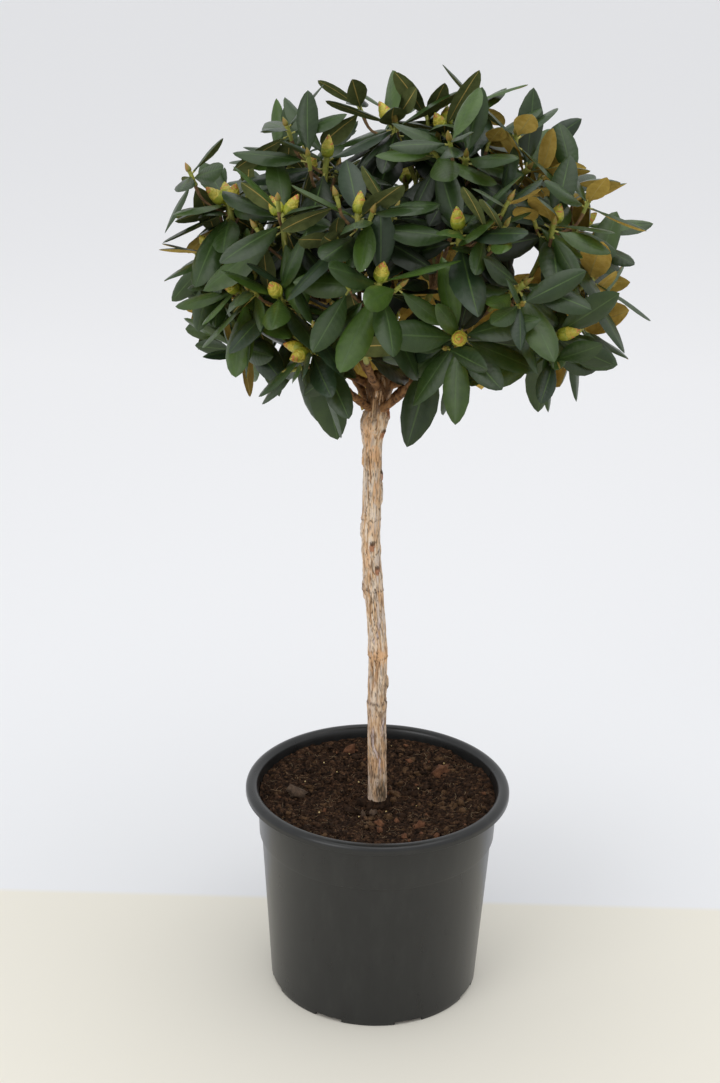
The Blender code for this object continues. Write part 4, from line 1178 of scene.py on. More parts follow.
def bud_shape():
    """A bud of overlapping scales round a core, one unit long and one wide, with a finish for each face.

    It is inside out here, because a bud is placed as the mirror image of it.
    """
    scale = scale_template()
    joined = Joined()
    core = tube_template(CORE_RINGS, CORE_SIDES)
    t = core.places[:, 2] / (CORE_RINGS - 1) * (BUD_CORE[1] + BUD_STALK) - BUD_STALK
    wide = bud_girth(t) * BUD_CORE[0]
    joined.add(np.stack([-core.places[:, 0] * wide, core.places[:, 1] * wide, t], 1), core)
    x, y, layer = scale.places.T
    taper = np.clip(x - SCALE_TAPER[0], 0, 1) / SCALE_TAPER[1]
    along = scale.middles[:, 0]
    for k in range(SCALES):
        low = SCALE_FEET[0] * (k / SCALES) ** SCALE_FEET[1]
        reach = SCALE_REACH[0] - SCALE_REACH[1] * k / SCALES
        height = low + reach * x
        spread = SCALE_WRAP * np.sqrt(np.clip(1 - taper ** SCALE_TAPER[2], 0, 1)) + SCALE_TIP
        angle = math.radians(GOLDEN_TURN * k) + y * spread
        stand = 1.0 + 0.04 * x + 0.04 * (x > 0.9) + 0.03 * layer - 0.06 * (1 - x)
        radius = bud_girth(np.clip(height, 0, 0.975)) * stand + 0.02 * x
        places = np.stack([radius * np.cos(angle), radius * np.sin(angle), height], 1)
        middle = low + reach * along
        flushed = (along > FLUSHED_TIP[0]) & (middle > FLUSHED_TIP[1]) & (k % 2 > 0)
        finish = np.where(middle > YELLOW_FROM, YELLOW, GREEN)
        joined.add(places, scale, np.where((middle > FLUSHED_FROM) | flushed, FLUSHED, finish))
    places, corners, sizes, finishes = joined.whole()
    return Template(places, corners, sizes), finishes


def make_buds(grown, materials):
    """Fat flower buds at the shoots' tips, one to three together."""
    template, finishes = bud_shape()
    u, v, t = template.places.T
    joined = Joined()
    rng = random.Random(41)
    for bud in [bud for parts in grown.values() for bud in parts["buds"]]:
        for n in range(bud["count"]):
            lean = rng.uniform(*BUD_LEAN[bud["count"] > 1])
            axis = tilted(bud["axis"], lean, 360 * n / bud["count"] + rng.uniform(-BUD_TURN, BUD_TURN))
            length = BUD_LENGTH * rng.uniform(*BUD_STRETCH)
            radius = BUD_RADIUS * rng.uniform(*BUD_SWELL)
            side, rise = across(axis)
            turn = rng.uniform(0, math.tau)
            x = (u * math.cos(turn) - v * math.sin(turn))[:, None]
            y = (u * math.sin(turn) + v * math.cos(turn))[:, None]
            foot = np.array(bud["foot"] + (axis - bud["axis"]) * BUD_RADIUS)
            across_bud = x * radius * np.array(side) + y * radius * np.array(rise)
            joined.add(foot + across_bud + t[:, None] * length * np.array(axis), template, finishes)
    finish_piece(joined.mesh("flower_buds"), materials, "foliage")


def make_resting_buds(grown, materials):
    """The small pointed bud at the end of every shoot that won't flower."""
    joined = Joined()
    template = tube_template(RESTING_BUD_RINGS, RESTING_SIDES)
    rng = random.Random(43)
    steps = [k / (RESTING_BUD_RINGS - 1) for k in range(RESTING_BUD_RINGS)]
    for parts in grown.values():
        for twig in [t for t in parts["twigs"][1:] + parts["spurs"] if not t["buds"]]:
            length = RESTING_BUD_LENGTH * rng.uniform(*RESTING_STRETCH)
            radius = RESTING_BUD_RADIUS * rng.uniform(*RESTING_SWELL)
            points = [twig["points"][-1] + twig["axis"] * (length * t - RESTING_SINK) for t in steps]
            radii = [radius * max(float(bud_girth(t)), RESTING_TIP) for t in steps]
            joined.add(swept(template, points, radii), template)
    finish_piece(joined.mesh("resting_buds"), materials, "foliage")


# Patterns in the bark: how wide and how long
PLATE_SIZE = (3.6 * MM, 34 * MM)
STRIP_SIZE = (2.1 * MM, 26 * MM)
FLECK_SIZE = (1.3 * MM, 6 * MM)
BLOTCH_SIZE = (7 * MM, 13 * MM)
BAND_LENGTH = 30 * MM
WANDER_LENGTH = 8 * MM        # over which a seam wavers
PLATE_WANDER = (1.1, 0.5)     # how finely and how far the plates' edges wander,
WANDER_SEED = 3               # and the seed of that, which is otherwise drawn from the clock
CRACK_WIDTH = 0.12            # of a plate
# How far things stand out
BARK_STAND = 0.9 * MM         # the bark's mean, which is taken off again
HEAD_STAND = 1.4 * MM
RING_STAND = 0.9 * MM
SEAM_STAND = 0.8 * MM
KNOT_STAND = 1.6 * MM
FLAP_STAND = 2.2 * MM
FOOT_TOP = 370 * MM           # the stem is darker below here,
FOOT_RUN = 90 * MM
HEAD_FROM = 772 * MM          # and rough and brown above here
HEAD_RUN = 40 * MM
TIP_RUN = 6 * MM              # where the relief fades out at the trunk's tip
RING_WAVER = 3.5              # millimetres
SEAM_WAVER = (14, 6)          # degrees: slow and fine
SEAM_HALF = 1.7               # millimetres, with a crack beside it this far out and this wide
SEAM_CRACK = (2.6, 0.7)
# What marks the stem: height in millimetres, degrees round it, half height, half width
KNOTS = ((621, -84, 5, 4), (588, -60, 4.5, 3.5), (797, -10, 8, 4), (768, -35, 5, 3.5), (712, -12, 6, 3),
         (655, 150, 5, 4), (520, 95, 5, 4), (742, 120, 6, 4))
RINGS = ((404, 2.4), (468, 1.2), (560, 0.9), (655, 1.0), (826, 3.5))   # height, half height
# bark that has lifted off along its edge
FLAPS = ((776, 172, 24, 4), (735, -178, 12, 3), (690, 5, 14, 3), (640, 176, 10, 3), (432, 2, 9, 3),
         (560, -172, 12, 3))
SEAMS = ((336, -116, 37, 44), (371, -44, 15, -14), (506, -70, 22, -30))   # grey seams, with how far they wind
# where the outer bark has come off
BARE = ((770, -128, 22, 7), (747, -80, 8, 7), (694, -62, 14, 4), (474, -90, 7, 11), (600, -110, 18, 4),
        (640, 60, 26, 6), (720, 100, 20, 6))
DARK_FOOT = (276, -62, 17, 7)
TRUNK_ROWS = 480
TRUNK_SIDES = 104
TRUNK_TONES = ("#c9a27c", "#e8c8a4", "#f5e0c6", "#f4c594")
BARK_TAN, BARK_SAND, BARK_CREAM, BARK_ORANGE = [linear(tone) for tone in TRUNK_TONES]
BARK_PALE = linear("#f3e7d9")
BARK_BROWN = linear("#ad8460")
BARK_GREY, BARK_SILVER = linear("#c2b5ac"), linear("#ddd4d0")
BARK_CRACK = linear("#4a3525")
BARK_SEAM = linear("#e0d4d9")
BARK_BLOTCH = linear("#7d6a59")
BARK_BARE = linear("#edc095")
BARK_KNOT = linear("#a9663a")
BARK_HEAD = linear("#76583c")
BARK_FOOT = linear("#4b463a")


def mixed(a, b, share):
    """Between two linear colours."""
    return tuple(p + (q - p) * share for p, q in zip(a, b))


def on_stem(spot, z, size, shift=0):
    """A place on the stem in the units of a pattern of this size."""
    return Vector((spot.x / size[0], spot.y / size[0], z / size[1] + shift))


def turn_between(a, b):
    """The angle from b to a, at most half a turn either way (radians)."""
    return (a - b + math.pi) % math.tau - math.pi


def mark_share(height, turn, half_high, half_wide, angle, z):
    """How strongly a spot on the stem shows at this place: full at its middle, nothing outside."""
    away = turn_between(angle, math.radians(turn))
    reach = ((z / MM - height) / half_high) ** 2 + (away * TRUNK_RADIUS_LOW / MM / half_wide) ** 2
    return ease(1.6 - reach)


def bark_at(outward, z):
    """How far the bark stands out at a place, and its tone: strips and plates, cracks, flakes and marks."""
    radius = trunk_radius(z)
    spot = outward * radius
    place = on_stem(spot, z, PLATE_SIZE)
    place += noise.noise_vector(place * PLATE_WANDER[0]) * PLATE_WANDER[1]
    near, points = noise.voronoi(place)
    edge = near[1] - near[0]
    cell = noise.noise(points[0] * 3.1)
    fine = noise.noise(Vector((place.x * 2.7, place.y * 2.7, place.z * 4)))
    strip = noise.noise(on_stem(spot, z, STRIP_SIZE, 5) + place * 0.15)
    rough = ease(noise.noise(place * 0.4) * 2.4 + 0.45)
    crack = (1 - ease(edge / CRACK_WIDTH)) * rough
    deep = ease(noise.noise(place * 0.7 + Vector((9, 0, 0))) * 3 + 0.6)
    fleck = ease(noise.noise(on_stem(spot, z, FLECK_SIZE)) * 6 - 2.2)
    flake = ease((cell + 0.4 * fine) * 5 - 0.6) * (1 - crack)
    blotch = noise.noise(on_stem(spot, z, BLOTCH_SIZE)) + 0.5 * fine
    band = noise.noise(Vector((3, 7, z / BAND_LENGTH)))
    low = 1 - ease((z - FOOT_TOP) / FOOT_RUN)
    head = ease((z - HEAD_FROM) / HEAD_RUN)
    marks, raised = bark_marks(outward, z, radius, fine)
    stand = (0.5 * ease(edge / 0.5) + 0.5 * cell + 0.3 * fine + 0.35 * strip - 0.9 * crack) * MM
    stand += head * HEAD_STAND * ease(cell * 3 + 0.3) + raised
    layers = [
        (BARK_SAND, ease(0.85 + fine * 1.4)),
        (BARK_CREAM, ease(cell * 2 + 0.6)),
        (BARK_ORANGE, 0.7 * ease(band * 3 + cell)),
        (BARK_PALE, 0.75 * ease(strip * 4 - 0.4)),
        (BARK_BROWN, 0.75 * ease(-strip * 4 - 0.5)),
        (mixed(BARK_GREY, BARK_SILVER, ease(fine + 0.5)), 0.7 * flake),
        (BARK_BLOTCH, (0.35 + 0.5 * low) * ease(blotch * 3.4 - 0.35)),
        (BARK_TAN, 0.3 * low),
        (BARK_HEAD, head * ease(0.75 + cell * 1.6)),
        *marks,
        (BARK_CRACK, max(crack * (0.55 + 0.4 * deep), 0.7 * fleck)),
    ]
    tone = BARK_TAN
    for colour, share in layers:
        tone = mixed(tone, colour, share)
    return stand, tone


def bark_marks(outward, z, radius, fine):
    """Tones laid over a place on the stem by its marks, and how far they stand out there."""
    angle = math.atan2(outward.y, outward.x)
    layers = []
    stand = 0
    for height, half in RINGS:
        ragged = noise.noise(outward * 2.6 + UP * height)
        ring = math.exp(-(((z / MM - height + RING_WAVER * ragged) / half) ** 2))
        layers.append((BARK_CRACK, 0.8 * ring * ease(0.7 + fine * 2.5)))
        stand += RING_STAND * ring * ease(1 + fine * 2)
    for height, turn, half, wind in SEAMS:
        along = (height - z / MM) / half
        if abs(along) < 1:
            waver = SEAM_WAVER[0] * noise.noise(Vector((height, 0, z / WANDER_LENGTH))) + SEAM_WAVER[1] * fine
            middle = math.radians(turn + wind * ease(along + 0.4) + waver)
            wide = abs(turn_between(middle, angle)) * radius / MM
            seam = (1 - along ** 4) * ease(0.9 + fine * 2)
            ridge = math.exp(-((wide / SEAM_HALF) ** 2))
            beside = math.exp(-(((wide - SEAM_CRACK[0]) / SEAM_CRACK[1]) ** 2))
            layers += [(BARK_CRACK, 0.9 * seam * beside), (BARK_SEAM, 0.95 * seam * ridge)]
            stand += SEAM_STAND * seam * ridge
    angle += 0.2 * fine
    z += 2.5 * MM * fine
    for mark in BARE:
        layers.append((BARK_BARE, 0.75 * mark_share(*mark, angle, z) * ease(1.1 + fine * 2)))
    layers.append((BARK_FOOT, 0.75 * mark_share(*DARK_FOOT, angle, z) * ease(fine * 2 + 0.9)))
    for mark in KNOTS:
        height, turn, half_high, half_wide = mark
        share = mark_share(*mark, angle, z)
        above = mark_share(height + half_high, turn, half_high / 2, half_wide, angle, z)
        layers += [(BARK_KNOT, 0.8 * share), (BARK_CRACK, 0.8 * above)]
        stand += KNOT_STAND * share
    for mark in FLAPS:
        stand += FLAP_STAND * mark_share(*mark, angle, z) * ease(1 + fine * 2)
    return layers, stand


def tinted_mesh(joined, name, tones):
    """A joined mesh with its bark tone at every corner."""
    mesh = joined.mesh(name)
    attribute = mesh.attributes.new("bark_tone", "FLOAT_COLOR", "POINT")
    attribute.data.foreach_set("color", np.array(tones, np.float32).ravel())
    return mesh


def make_trunk(material):
    """The trunk with its bark's relief, as rings of a tube."""
    noise.seed_set(WANDER_SEED)
    template = tube_template(TRUNK_ROWS, TRUNK_SIDES)
    places, tones = [], []
    for x, y, row in template.places:
        z = TRUNK_FOOT + (TRUNK_TIP - TRUNK_FOOT) * row / (TRUNK_ROWS - 1)
        outward = Vector((x, y, 0)).normalized()
        stand, tone = bark_at(outward, z)
        fade = min(1, (TRUNK_TIP - z) / TIP_RUN)
        radius = trunk_radius(z) + (stand - BARK_STAND) * fade
        places.append((trunk_middle(z) + outward * radius)[:])
        tones.append(tone)
    joined = Joined()
    joined.add(np.array(places), template)
    finish_piece(tinted_mesh(joined, "trunk_bark", tones), [material], "bark", "trunk")


BOUGH_ROWS = 60
BOUGH_SIDES = 20
BOUGH_DARK, BOUGH_BROWN, BOUGH_TAN = [linear(tone) for tone in ("#4b3525", "#86613f", "#ab8258")]
BOUGH_GRAIN = 330             # per metre: the fine relief,
BOUGH_LUMPS = 120             # and the broad one
BOUGH_RELIEF = 0.7            # millimetres, each


def make_boughs(material):
    """The boughs with finer, redder bark, as one piece."""
    joined = Joined()
    tones = []
    template = tube_template(BOUGH_ROWS, BOUGH_SIDES)
    rows = template.places[:, 2].round().astype(int)
    for mass in MASSES.values():
        path = bough_path(mass, rings=BOUGH_ROWS - 1)
        radii = [BOUGH_ROOT_RADIUS + (BOUGH_TIP_RADIUS - BOUGH_ROOT_RADIUS) * k / (BOUGH_ROWS - 1)
                 for k in range(BOUGH_ROWS)]
        places = []
        for corner, row in zip(swept(template, path, radii), rows):
            place = Vector(corner)
            rough = noise.noise(place * BOUGH_GRAIN)
            wide = noise.noise(place * BOUGH_LUMPS)
            stand = (BOUGH_RELIEF * rough + BOUGH_RELIEF * wide) * MM
            places.append((place + (place - path[row]).normalized() * stand)[:])
            tone = mixed(BOUGH_DARK, BOUGH_BROWN, ease(0.6 + rough * 1.6))
            tones.append(mixed(tone, BOUGH_TAN, 0.6 * ease(wide * 3)))
        joined.add(np.array(places), template)
    mesh = tinted_mesh(joined, "bough_bark", tones)
    finish_piece(mesh, [material], "young_bark", *[f"bough_{name}" for name in MASSES])


def pot_wall_radius(z):
    """Outer radius of the pot's wall at a height."""
    if z < STEP_HEIGHT:
        return POT_FOOT_RADIUS + (STEP_RADIUS - POT_FOOT_RADIUS) * z / STEP_HEIGHT
    over = (z - STEP_HEIGHT) / (POT_HEIGHT - RIM_DROP - STEP_HEIGHT)
    low = STEP_RADIUS + STEP_OUT
    return low + (NECK_RADIUS - low) * over


def inner_wall():
    """Half section of the pot's inner wall, from its floor up to the height of the lip."""
    ledge = STEP_HEIGHT + POT_WALL
    return [
        (pot_wall_radius(POT_FLOOR) - POT_WALL, POT_FLOOR),
        (pot_wall_radius(STEP_HEIGHT - POT_WALL) - POT_WALL, STEP_HEIGHT),
        (pot_wall_radius(ledge) - POT_WALL, ledge + POT_WALL),
        (NECK_RADIUS - POT_WALL, POT_HEIGHT - RIM_DROP),
    ]


def arc(centre, radius, start, end, parts):
    """Points on an arc in the half section (degrees)."""
    points = []
    for k in range(parts + 1):
        a = math.radians(start + (end - start) * k / parts)
        points.append((centre[0] + radius[0] * math.cos(a), centre[1] + radius[1] * math.sin(a)))
    return points


RIM_ROUNDING = 7 * MM
RIM_ARCS = ((168, 90, 8), (84, 0, 10), (0, 90, 6))   # inside, outside and underneath: degrees, and steps
CREST_IN = 0.6 * MM           # the rim's crest lies this much inside its middle
LIP_ROUNDING = 0.5 * MM


def make_pot(material):
    """The pot as one turned shell with a rolled rim, and the slots round its foot cut out."""
    lip = POT_HEIGHT - RIM_DROP
    crest = ((NECK_RADIUS + RIM_RADIUS) / 2 - CREST_IN, POT_HEIGHT - RIM_ROUNDING)
    brim = RIM_RADIUS - RIM_WALL
    inside = [(0, POT_FLOOR)] + inner_wall()
    over = arc(crest, (crest[0] - NECK_RADIUS + CREST_IN, RIM_ROUNDING), *RIM_ARCS[0])
    over += arc(crest, (RIM_RADIUS - crest[0], RIM_ROUNDING), *RIM_ARCS[1])
    under = [(RIM_RADIUS, lip + LIP_ROUNDING), (RIM_RADIUS - LIP_ROUNDING, lip), (brim, lip)]
    under += arc(crest, (brim - crest[0], RIM_ROUNDING - UNDER_CREST), *RIM_ARCS[2])
    under += [(NECK_RADIUS + LIP_ROUNDING, POT_HEIGHT - INNER_DROP)]
    outside = [
        (pot_wall_radius(lip), lip),
        (pot_wall_radius(STEP_HEIGHT + LEDGE_RUN), STEP_HEIGHT + LEDGE_RUN),
        (STEP_RADIUS + STEP_OUT * 0.9, STEP_HEIGHT + LEDGE_RUN * 0.6),
        (STEP_RADIUS + STEP_OUT * 0.1, STEP_HEIGHT + LEDGE_RUN * 0.2),
        (pot_wall_radius(STEP_HEIGHT - MM), STEP_HEIGHT - MM),
        (pot_wall_radius(NOTCH_HEIGHT * 1.6), NOTCH_HEIGHT * 1.6),
        (pot_wall_radius(FOOT_BEVEL[1]), FOOT_BEVEL[1]),
        (POT_FOOT_RADIUS - FOOT_BEVEL[0] * 0.3, FOOT_BEVEL[1] * 0.3),
        (POT_FOOT_RADIUS - FOOT_BEVEL[0], 0),
        (0, 0),
    ]
    mesh = mesh_of(turned_shape(inside + over + under + outside, POT_STEPS), "pot_wall")
    cut_slots(mesh)
    mesh.shade_smooth()
    mesh.set_sharp_from_angle(angle=math.radians(POT_EDGE_ANGLE))
    finish_piece(mesh, [material], "pot", "pot")


def cut_slots(mesh):
    """Cut the drain slots out of the pot's foot."""
    bm = bmesh.new()
    for k in range(NOTCHES):
        turn = math.radians(NOTCH_TURN + 360 * k / NOTCHES - 90)
        size = Matrix.Diagonal((2 * NOTCH_DEPTH, NOTCH_WIDTH, 2 * NOTCH_HEIGHT, 1))
        place = Matrix.Translation((POT_FOOT_RADIUS * math.cos(turn), POT_FOOT_RADIUS * math.sin(turn), 0))
        bmesh.ops.create_cube(bm, size=1, matrix=place @ Matrix.Rotation(turn, 4, "Z") @ size)
    wall = linked("wall_uncut", mesh)
    cutter = linked("slot_cutter", mesh_of(bm, "slots"))
    cut = wall.modifiers.new("slots", "BOOLEAN")
    cut.operation = "DIFFERENCE"
    cut.object = cutter
    depsgraph = bpy.context.evaluated_depsgraph_get()
    done = bmesh.new()
    done.from_object(wall, depsgraph)
    done.to_mesh(mesh)
    done.free()
    for piece in (wall, cutter):
        bpy.data.objects.remove(piece, do_unlink=True)


PEAT_RINGS = 112
PEAT_SIDES = 420
COLLAR = 4 * MM               # how far the peat is drawn up round the trunk,
COLLAR_REACH = 7 * MM         # and over which distance
# Relief of the peat: how wide each kind is, and how high
DUNES = (60 * MM, 3.5 * MM)
CLOD_LUMPS = (12 * MM, 6.5 * MM)
CRUMB_LUMPS = (4.5 * MM, 3.0 * MM)
GRIT = (2.4 * MM, 1.0 * MM)
CLOD_PATCHES = 30 * MM        # clods gather in patches of this size
LEVEL_EDGE = 10 * MM          # over which the relief grows, away from the trunk
LEVEL_SHARE = 0.4             # of the crumbs and grit that is left at the trunk


def peat_edge():
    """Radius of the peat where its top meets the pot's wall."""
    (low_radius, low), (high_radius, high) = [(radius - 2 * GAP, z + GAP) for radius, z in inner_wall()][-2:]
    return low_radius + (high_radius - low_radius) * (SOIL_TOP + SOIL_RISE - low) / (high - low)


def peat_height(x, y):
    """The crumbly top of the peat over its lowest level: a dish with lumps, crumbs and grit."""
    place = Vector((x, y, 0))
    radius = place.length
    dish = SOIL_RISE * ease((radius - SOIL_SEAT_RADIUS) / (peat_edge() - SOIL_SEAT_RADIUS))
    wide = noise.noise(place / DUNES[0]) * DUNES[1]
    clods = (0.5 - noise.voronoi(place / CLOD_LUMPS[0])[0][0]) * CLOD_LUMPS[1]
    crumbs = (0.5 - noise.voronoi(place / CRUMB_LUMPS[0])[0][0]) * CRUMB_LUMPS[1]
    grit = noise.noise(place / GRIT[0]) * GRIT[1]
    fade = min(1, max(0, (radius - TRUNK_RADIUS_LOW) / LEVEL_EDGE))
    rough = wide + clods * ease(0.8 + noise.noise(place / CLOD_PATCHES) * 2)
    collar = COLLAR * math.exp(-(((radius - TRUNK_RADIUS_LOW) / COLLAR_REACH) ** 2))
    collar *= 1 + noise.noise(place * 90)
    return dish + collar + rough * fade + (crumbs + grit) * (LEVEL_SHARE + (1 - LEVEL_SHARE) * fade)


def make_peat(material):
    """The peat plug, with its crumbly top."""
    sides = [(radius - 2 * GAP, z + GAP) for radius, z in inner_wall()]
    edge = peat_edge()
    profile = [(edge * k / PEAT_RINGS, SOIL_TOP) for k in range(PEAT_RINGS + 1)]
    profile += sides[-2::-1] + [(0, POT_FLOOR + GAP)]
    bm = turned_shape(profile, PEAT_SIDES)
    for corner in bm.verts:
        if corner.co.z > SOIL_TOP - MM:
            corner.co.z += peat_height(corner.co.x, corner.co.y)
    mesh = mesh_of(bm, "peat")
    mesh.shade_smooth()
    finish_piece(mesh, [material], "soil", "soil")


SCATTER = (20 * MM, 148 * MM)   # from the trunk to the pot's wall


def scatter_spot(rng):
    """A random spot on the peat."""
    radius = math.sqrt(rng.uniform(SCATTER[0] ** 2, SCATTER[1] ** 2))
    angle = rng.uniform(0, math.tau)
    x, y = radius * math.cos(angle), radius * math.sin(angle)
    return Vector((x, y, SOIL_TOP + peat_height(x, y)))


def lump_template(detail):
    bm = bmesh.new()
    bmesh.ops.create_icosphere(bm, subdivisions=detail, radius=1)
    return template_of(bm)


def turned_lump(template, spot, sizes, rng, roughness):
    """A lump's corners, stretched, roughened and turned at random."""
    turn = Matrix.Rotation(rng.uniform(0, math.tau), 3, direction(rng.uniform(0, 360), rng.uniform(-90, 90)))
    shift = Vector((rng.uniform(0, 90), rng.uniform(0, 90), 0))
    places = []
    for corner in template.places:
        swell = 1 + roughness * noise.noise(Vector(corner) * 1.7 + shift)
        places.append((spot + turn @ Vector([corner[k] * swell * sizes[k] for k in range(3)]))[:])
    return np.array(places)


# What lies on the peat where the photograph shows it: place, half length, tone
CHUNKS = (
    (0.086, 0.070, 15, 2), (-0.108, -0.008, 14, 4), (-0.040, 0.118, 10, 2), (0.024, 0.012, 9, 1),
    (0.055, -0.085, 8, 2), (-0.006, -0.035, 9, 4), (-0.034, -0.040, 9, 0), (-0.018, -0.047, 6, 4),
    (0.004, -0.098, 7, 2), (-0.012, -0.088, 6, 1), (0.110, -0.020, 7, 1), (-0.018, -0.012, 9, 0),
    (0.003, -0.021, 8, 0), (0.013, -0.018, 9, 0), (-0.009, -0.020, 8, 0), (0.021, -0.005, 8, 1),
)
CHUNK_FORM = (1, 0.6, 0.5)
CRUMBS = 2600
CLODS = 260
PRILLS = 15
# half lengths in millimetres, and the other two half sizes over that
CRUMB_SIZES = ((0.6, 2.4), (0.6, 1), (0.5, 0.9))
CLOD_SIZES = ((2.2, 6.5), (0.5, 0.85), (0.4, 0.7))
PRILL_SIZES = (1.0, 1.4)
PRILL_RISE = 0.6 * MM
PEAT, RED_PEAT, BARK_CHIP, PRILL = range(4)
DARK_CRUMBS = 0.8             # the share that isn't reddish
CLOD_TONES = (PEAT,) * 6 + (RED_PEAT,) * 3 + (BARK_CHIP,)
CRUMB_ROUGHNESS, CLOD_ROUGHNESS, CHUNK_ROUGHNESS, PRILL_ROUGHNESS = 0.35, 1.0, 1.1, 0.05


def make_crumbs(materials):
    """Crumbs, clods, bark chips and prills that lie on the peat: dark, reddish and pale."""
    rng = random.Random(5)
    joined = Joined()
    crumb, clod = lump_template(1), lump_template(2)

    def lay(template, spot, sizes, tone, roughness):
        joined.add(turned_lump(template, spot, sizes, rng, roughness), template, tone)

    def drawn_sizes(lengths, widths, heights):
        size = rng.uniform(*lengths) * MM
        return (size, size * rng.uniform(*widths), size * rng.uniform(*heights))

    for _ in range(CRUMBS):
        sizes = drawn_sizes(*CRUMB_SIZES)
        spot = scatter_spot(rng)
        lay(crumb, spot, sizes, PEAT if rng.random() < DARK_CRUMBS else RED_PEAT, CRUMB_ROUGHNESS)
    for _ in range(CLODS):
        sizes = drawn_sizes(*CLOD_SIZES)
        lay(clod, scatter_spot(rng), sizes, rng.choice(CLOD_TONES), CLOD_ROUGHNESS)
    for x, y, size, tone in CHUNKS:
        spot = Vector((x, y, SOIL_TOP + peat_height(x, y) + MM))
        lay(clod, spot, [size * share * MM for share in CHUNK_FORM], tone, CHUNK_ROUGHNESS)
    for _ in range(PRILLS):
        spot = scatter_spot(rng) + UP * PRILL_RISE
        lay(clod, spot, (rng.uniform(*PRILL_SIZES) * MM,) * 3, PRILL, PRILL_ROUGHNESS)
    finish_piece(joined.mesh("peat_crumbs"), materials, "soil")


FIBRES = 700
FIBRE_POINTS = 7
FIBRE_SIDES = 4
FIBRE_LENGTH = (5, 18)        # millimetres
FIBRE_RADIUS = (0.12, 0.28)
FIBRE_CURL = 1.3              # radians from end to end, at most
FIBRE_RISE = (0.5 * MM, 0.3 * MM)   # over the peat below it, and over the spot it lies on
DRY, WET = range(2)
FIBRE_TONES = (DRY, DRY, WET, WET, WET)


def make_fibres(materials):
    """Peat fibres: fine pale and dark threads that lie curled on top."""
    rng = random.Random(9)
    joined = Joined()
    template = tube_template(FIBRE_POINTS, FIBRE_SIDES)
    steps = [n / (FIBRE_POINTS - 1) for n in range(FIBRE_POINTS)]
    for _ in range(FIBRES):
        spot = scatter_spot(rng)
        heading = direction(rng.uniform(0, 360), 0)
        length = rng.uniform(*FIBRE_LENGTH) * MM
        curl = rng.uniform(-FIBRE_CURL, FIBRE_CURL)
        points = []
        for step in steps:
            turned = Matrix.Rotation(curl * (step - 0.5), 3, "Z") @ heading
            place = spot + turned * (step - 0.5) * length
            top = SOIL_TOP + peat_height(place.x, place.y) + FIBRE_RISE[0]
            points.append(Vector((place.x, place.y, max(top, spot.z + FIBRE_RISE[1]))))
        radius = rng.uniform(*FIBRE_RADIUS) * MM
        radii = [radius * (1 - abs(step - 0.5)) for step in steps]
        joined.add(swept(template, points, radii), template, rng.choice(FIBRE_TONES))
    finish_piece(joined.mesh("peat_fibres"), materials, "soil")


FLOOR_HALF = 60               # metres
FLOOR_EDGE = 0.17             # where the warm floor gives way to the white ground behind,
FLOOR_FAR = 3.0               # and where that is whitest
EDGE_BLUR = 0.03              # share of the way to that edge over which it softens


def make_floor():
    """A plain pale ground, warm where the pot stands and white behind."""
    bm = bmesh.new()
    bmesh.ops.create_grid(bm, x_segments=1, y_segments=1, size=FLOOR_HALF)
    floor = linked("floor", mesh_of(bm, "floor"))
    material, tree, shader, place = new_material("painted_screed", 0.8)
    parts = add_node(tree, "SeparateXYZ", None, {"Vector": place})
    behind = add_node(tree, "MapRange", {"From Min": 0, "From Max": FLOOR_FAR}, {"Value": parts.outputs["Y"]})
    edge = FLOOR_EDGE / FLOOR_FAR
    stops = [(edge * (1 - EDGE_BLUR), "#ebe7db"), (edge * (1 + EDGE_BLUR), "#eaebed"), (1, "#fafafb")]
    tone = add_node(tree, "ValToRGB", {"stops": stops}, {"Fac": behind.outputs["Result"]})
    tree.links.new(tone.outputs["Color"], shader.inputs["Base Color"])
    floor.data.materials.append(material)


SKY_COLOUR = "#f5f6f8"
SKY_STRENGTH = 0.86
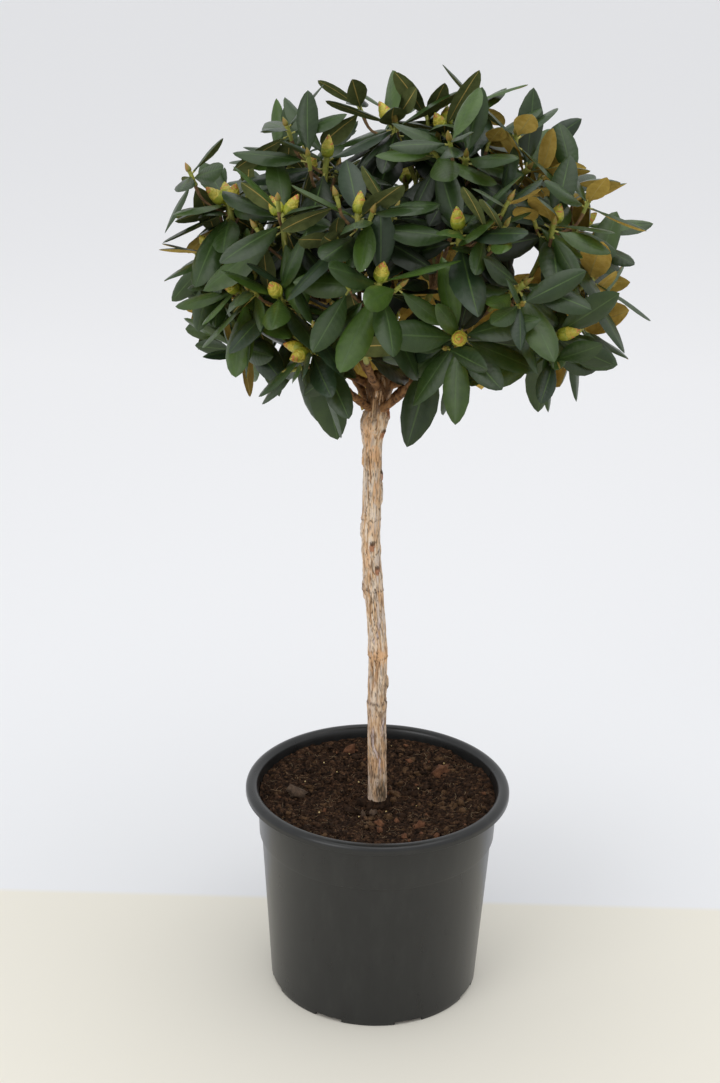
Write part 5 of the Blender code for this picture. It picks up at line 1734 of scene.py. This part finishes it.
# name, place, size and watts; both point at one place on the plant
LAMPS = (("window", (-2.2, -2.6, 2.6), 2.0, 27), ("ceiling", (0.4, -0.4, 3.6), 3.0, 36))
LIT_PLACE = Vector((0, 0, 0.6))


def make_light():
    """Soft daylight from all round, a broad light overhead and one from the front left."""
    bpy.context.scene.view_settings.view_transform = "Standard"
    world = bpy.data.worlds.new("daylight")
    bpy.context.scene.world = world
    world.use_nodes = True
    sky = world.node_tree.nodes["Background"]
    sky.inputs["Color"].default_value = linear(SKY_COLOUR)
    sky.inputs["Strength"].default_value = SKY_STRENGTH
    for name, place, size, power in LAMPS:
        lamp = bpy.data.lights.new(name, "AREA")
        lamp.size = size
        lamp.energy = power
        light = linked(name, lamp)
        light.location = place
        light.rotation_euler = (LIT_PLACE - Vector(place)).to_track_quat("-Z", "Y").to_euler()


def make_camera():
    """The photograph's camera."""
    lens = bpy.data.cameras.new("camera")
    lens.sensor_width = SENSOR
    lens.lens = FOCAL_SHARE * SENSOR
    camera = linked("camera", lens)
    pitch, yaw, roll = CAMERA_PITCH, CAMERA_YAW, CAMERA_ROLL
    forward = Vector((math.sin(yaw) * math.cos(pitch), math.cos(yaw) * math.cos(pitch), -math.sin(pitch)))
    right = Vector((math.cos(yaw), -math.sin(yaw), 0))
    upright = right.cross(forward)
    turned_right = right * math.cos(roll) + upright * math.sin(roll)
    turned_up = upright * math.cos(roll) - right * math.sin(roll)
    axes = Matrix((turned_right, turned_up, -forward)).transposed()
    camera.matrix_world = Matrix.Translation(CAMERA_PLACE) @ axes.to_4x4()
    bpy.context.scene.camera = camera


def main():
    make_camera()
    make_floor()
    make_light()
    make_pot(pot_material())
    make_peat(peat_material())
    make_crumbs(crumb_materials())
    make_fibres(fibre_materials())
    make_trunk(bark_material("flaking_bark"))
    make_boughs(bark_material("young_bark"))
    limbs = [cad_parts["trunk"]] + [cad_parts[f"bough_{name}"] for name in MASSES]
    grown = grow_crown(limbs)
    make_leaves(grown, leaf_materials())
    make_twigs(grown, twig_materials())
    *flowering, resting = bud_materials()
    make_buds(grown, flowering)
    make_resting_buds(grown, [resting])


main()
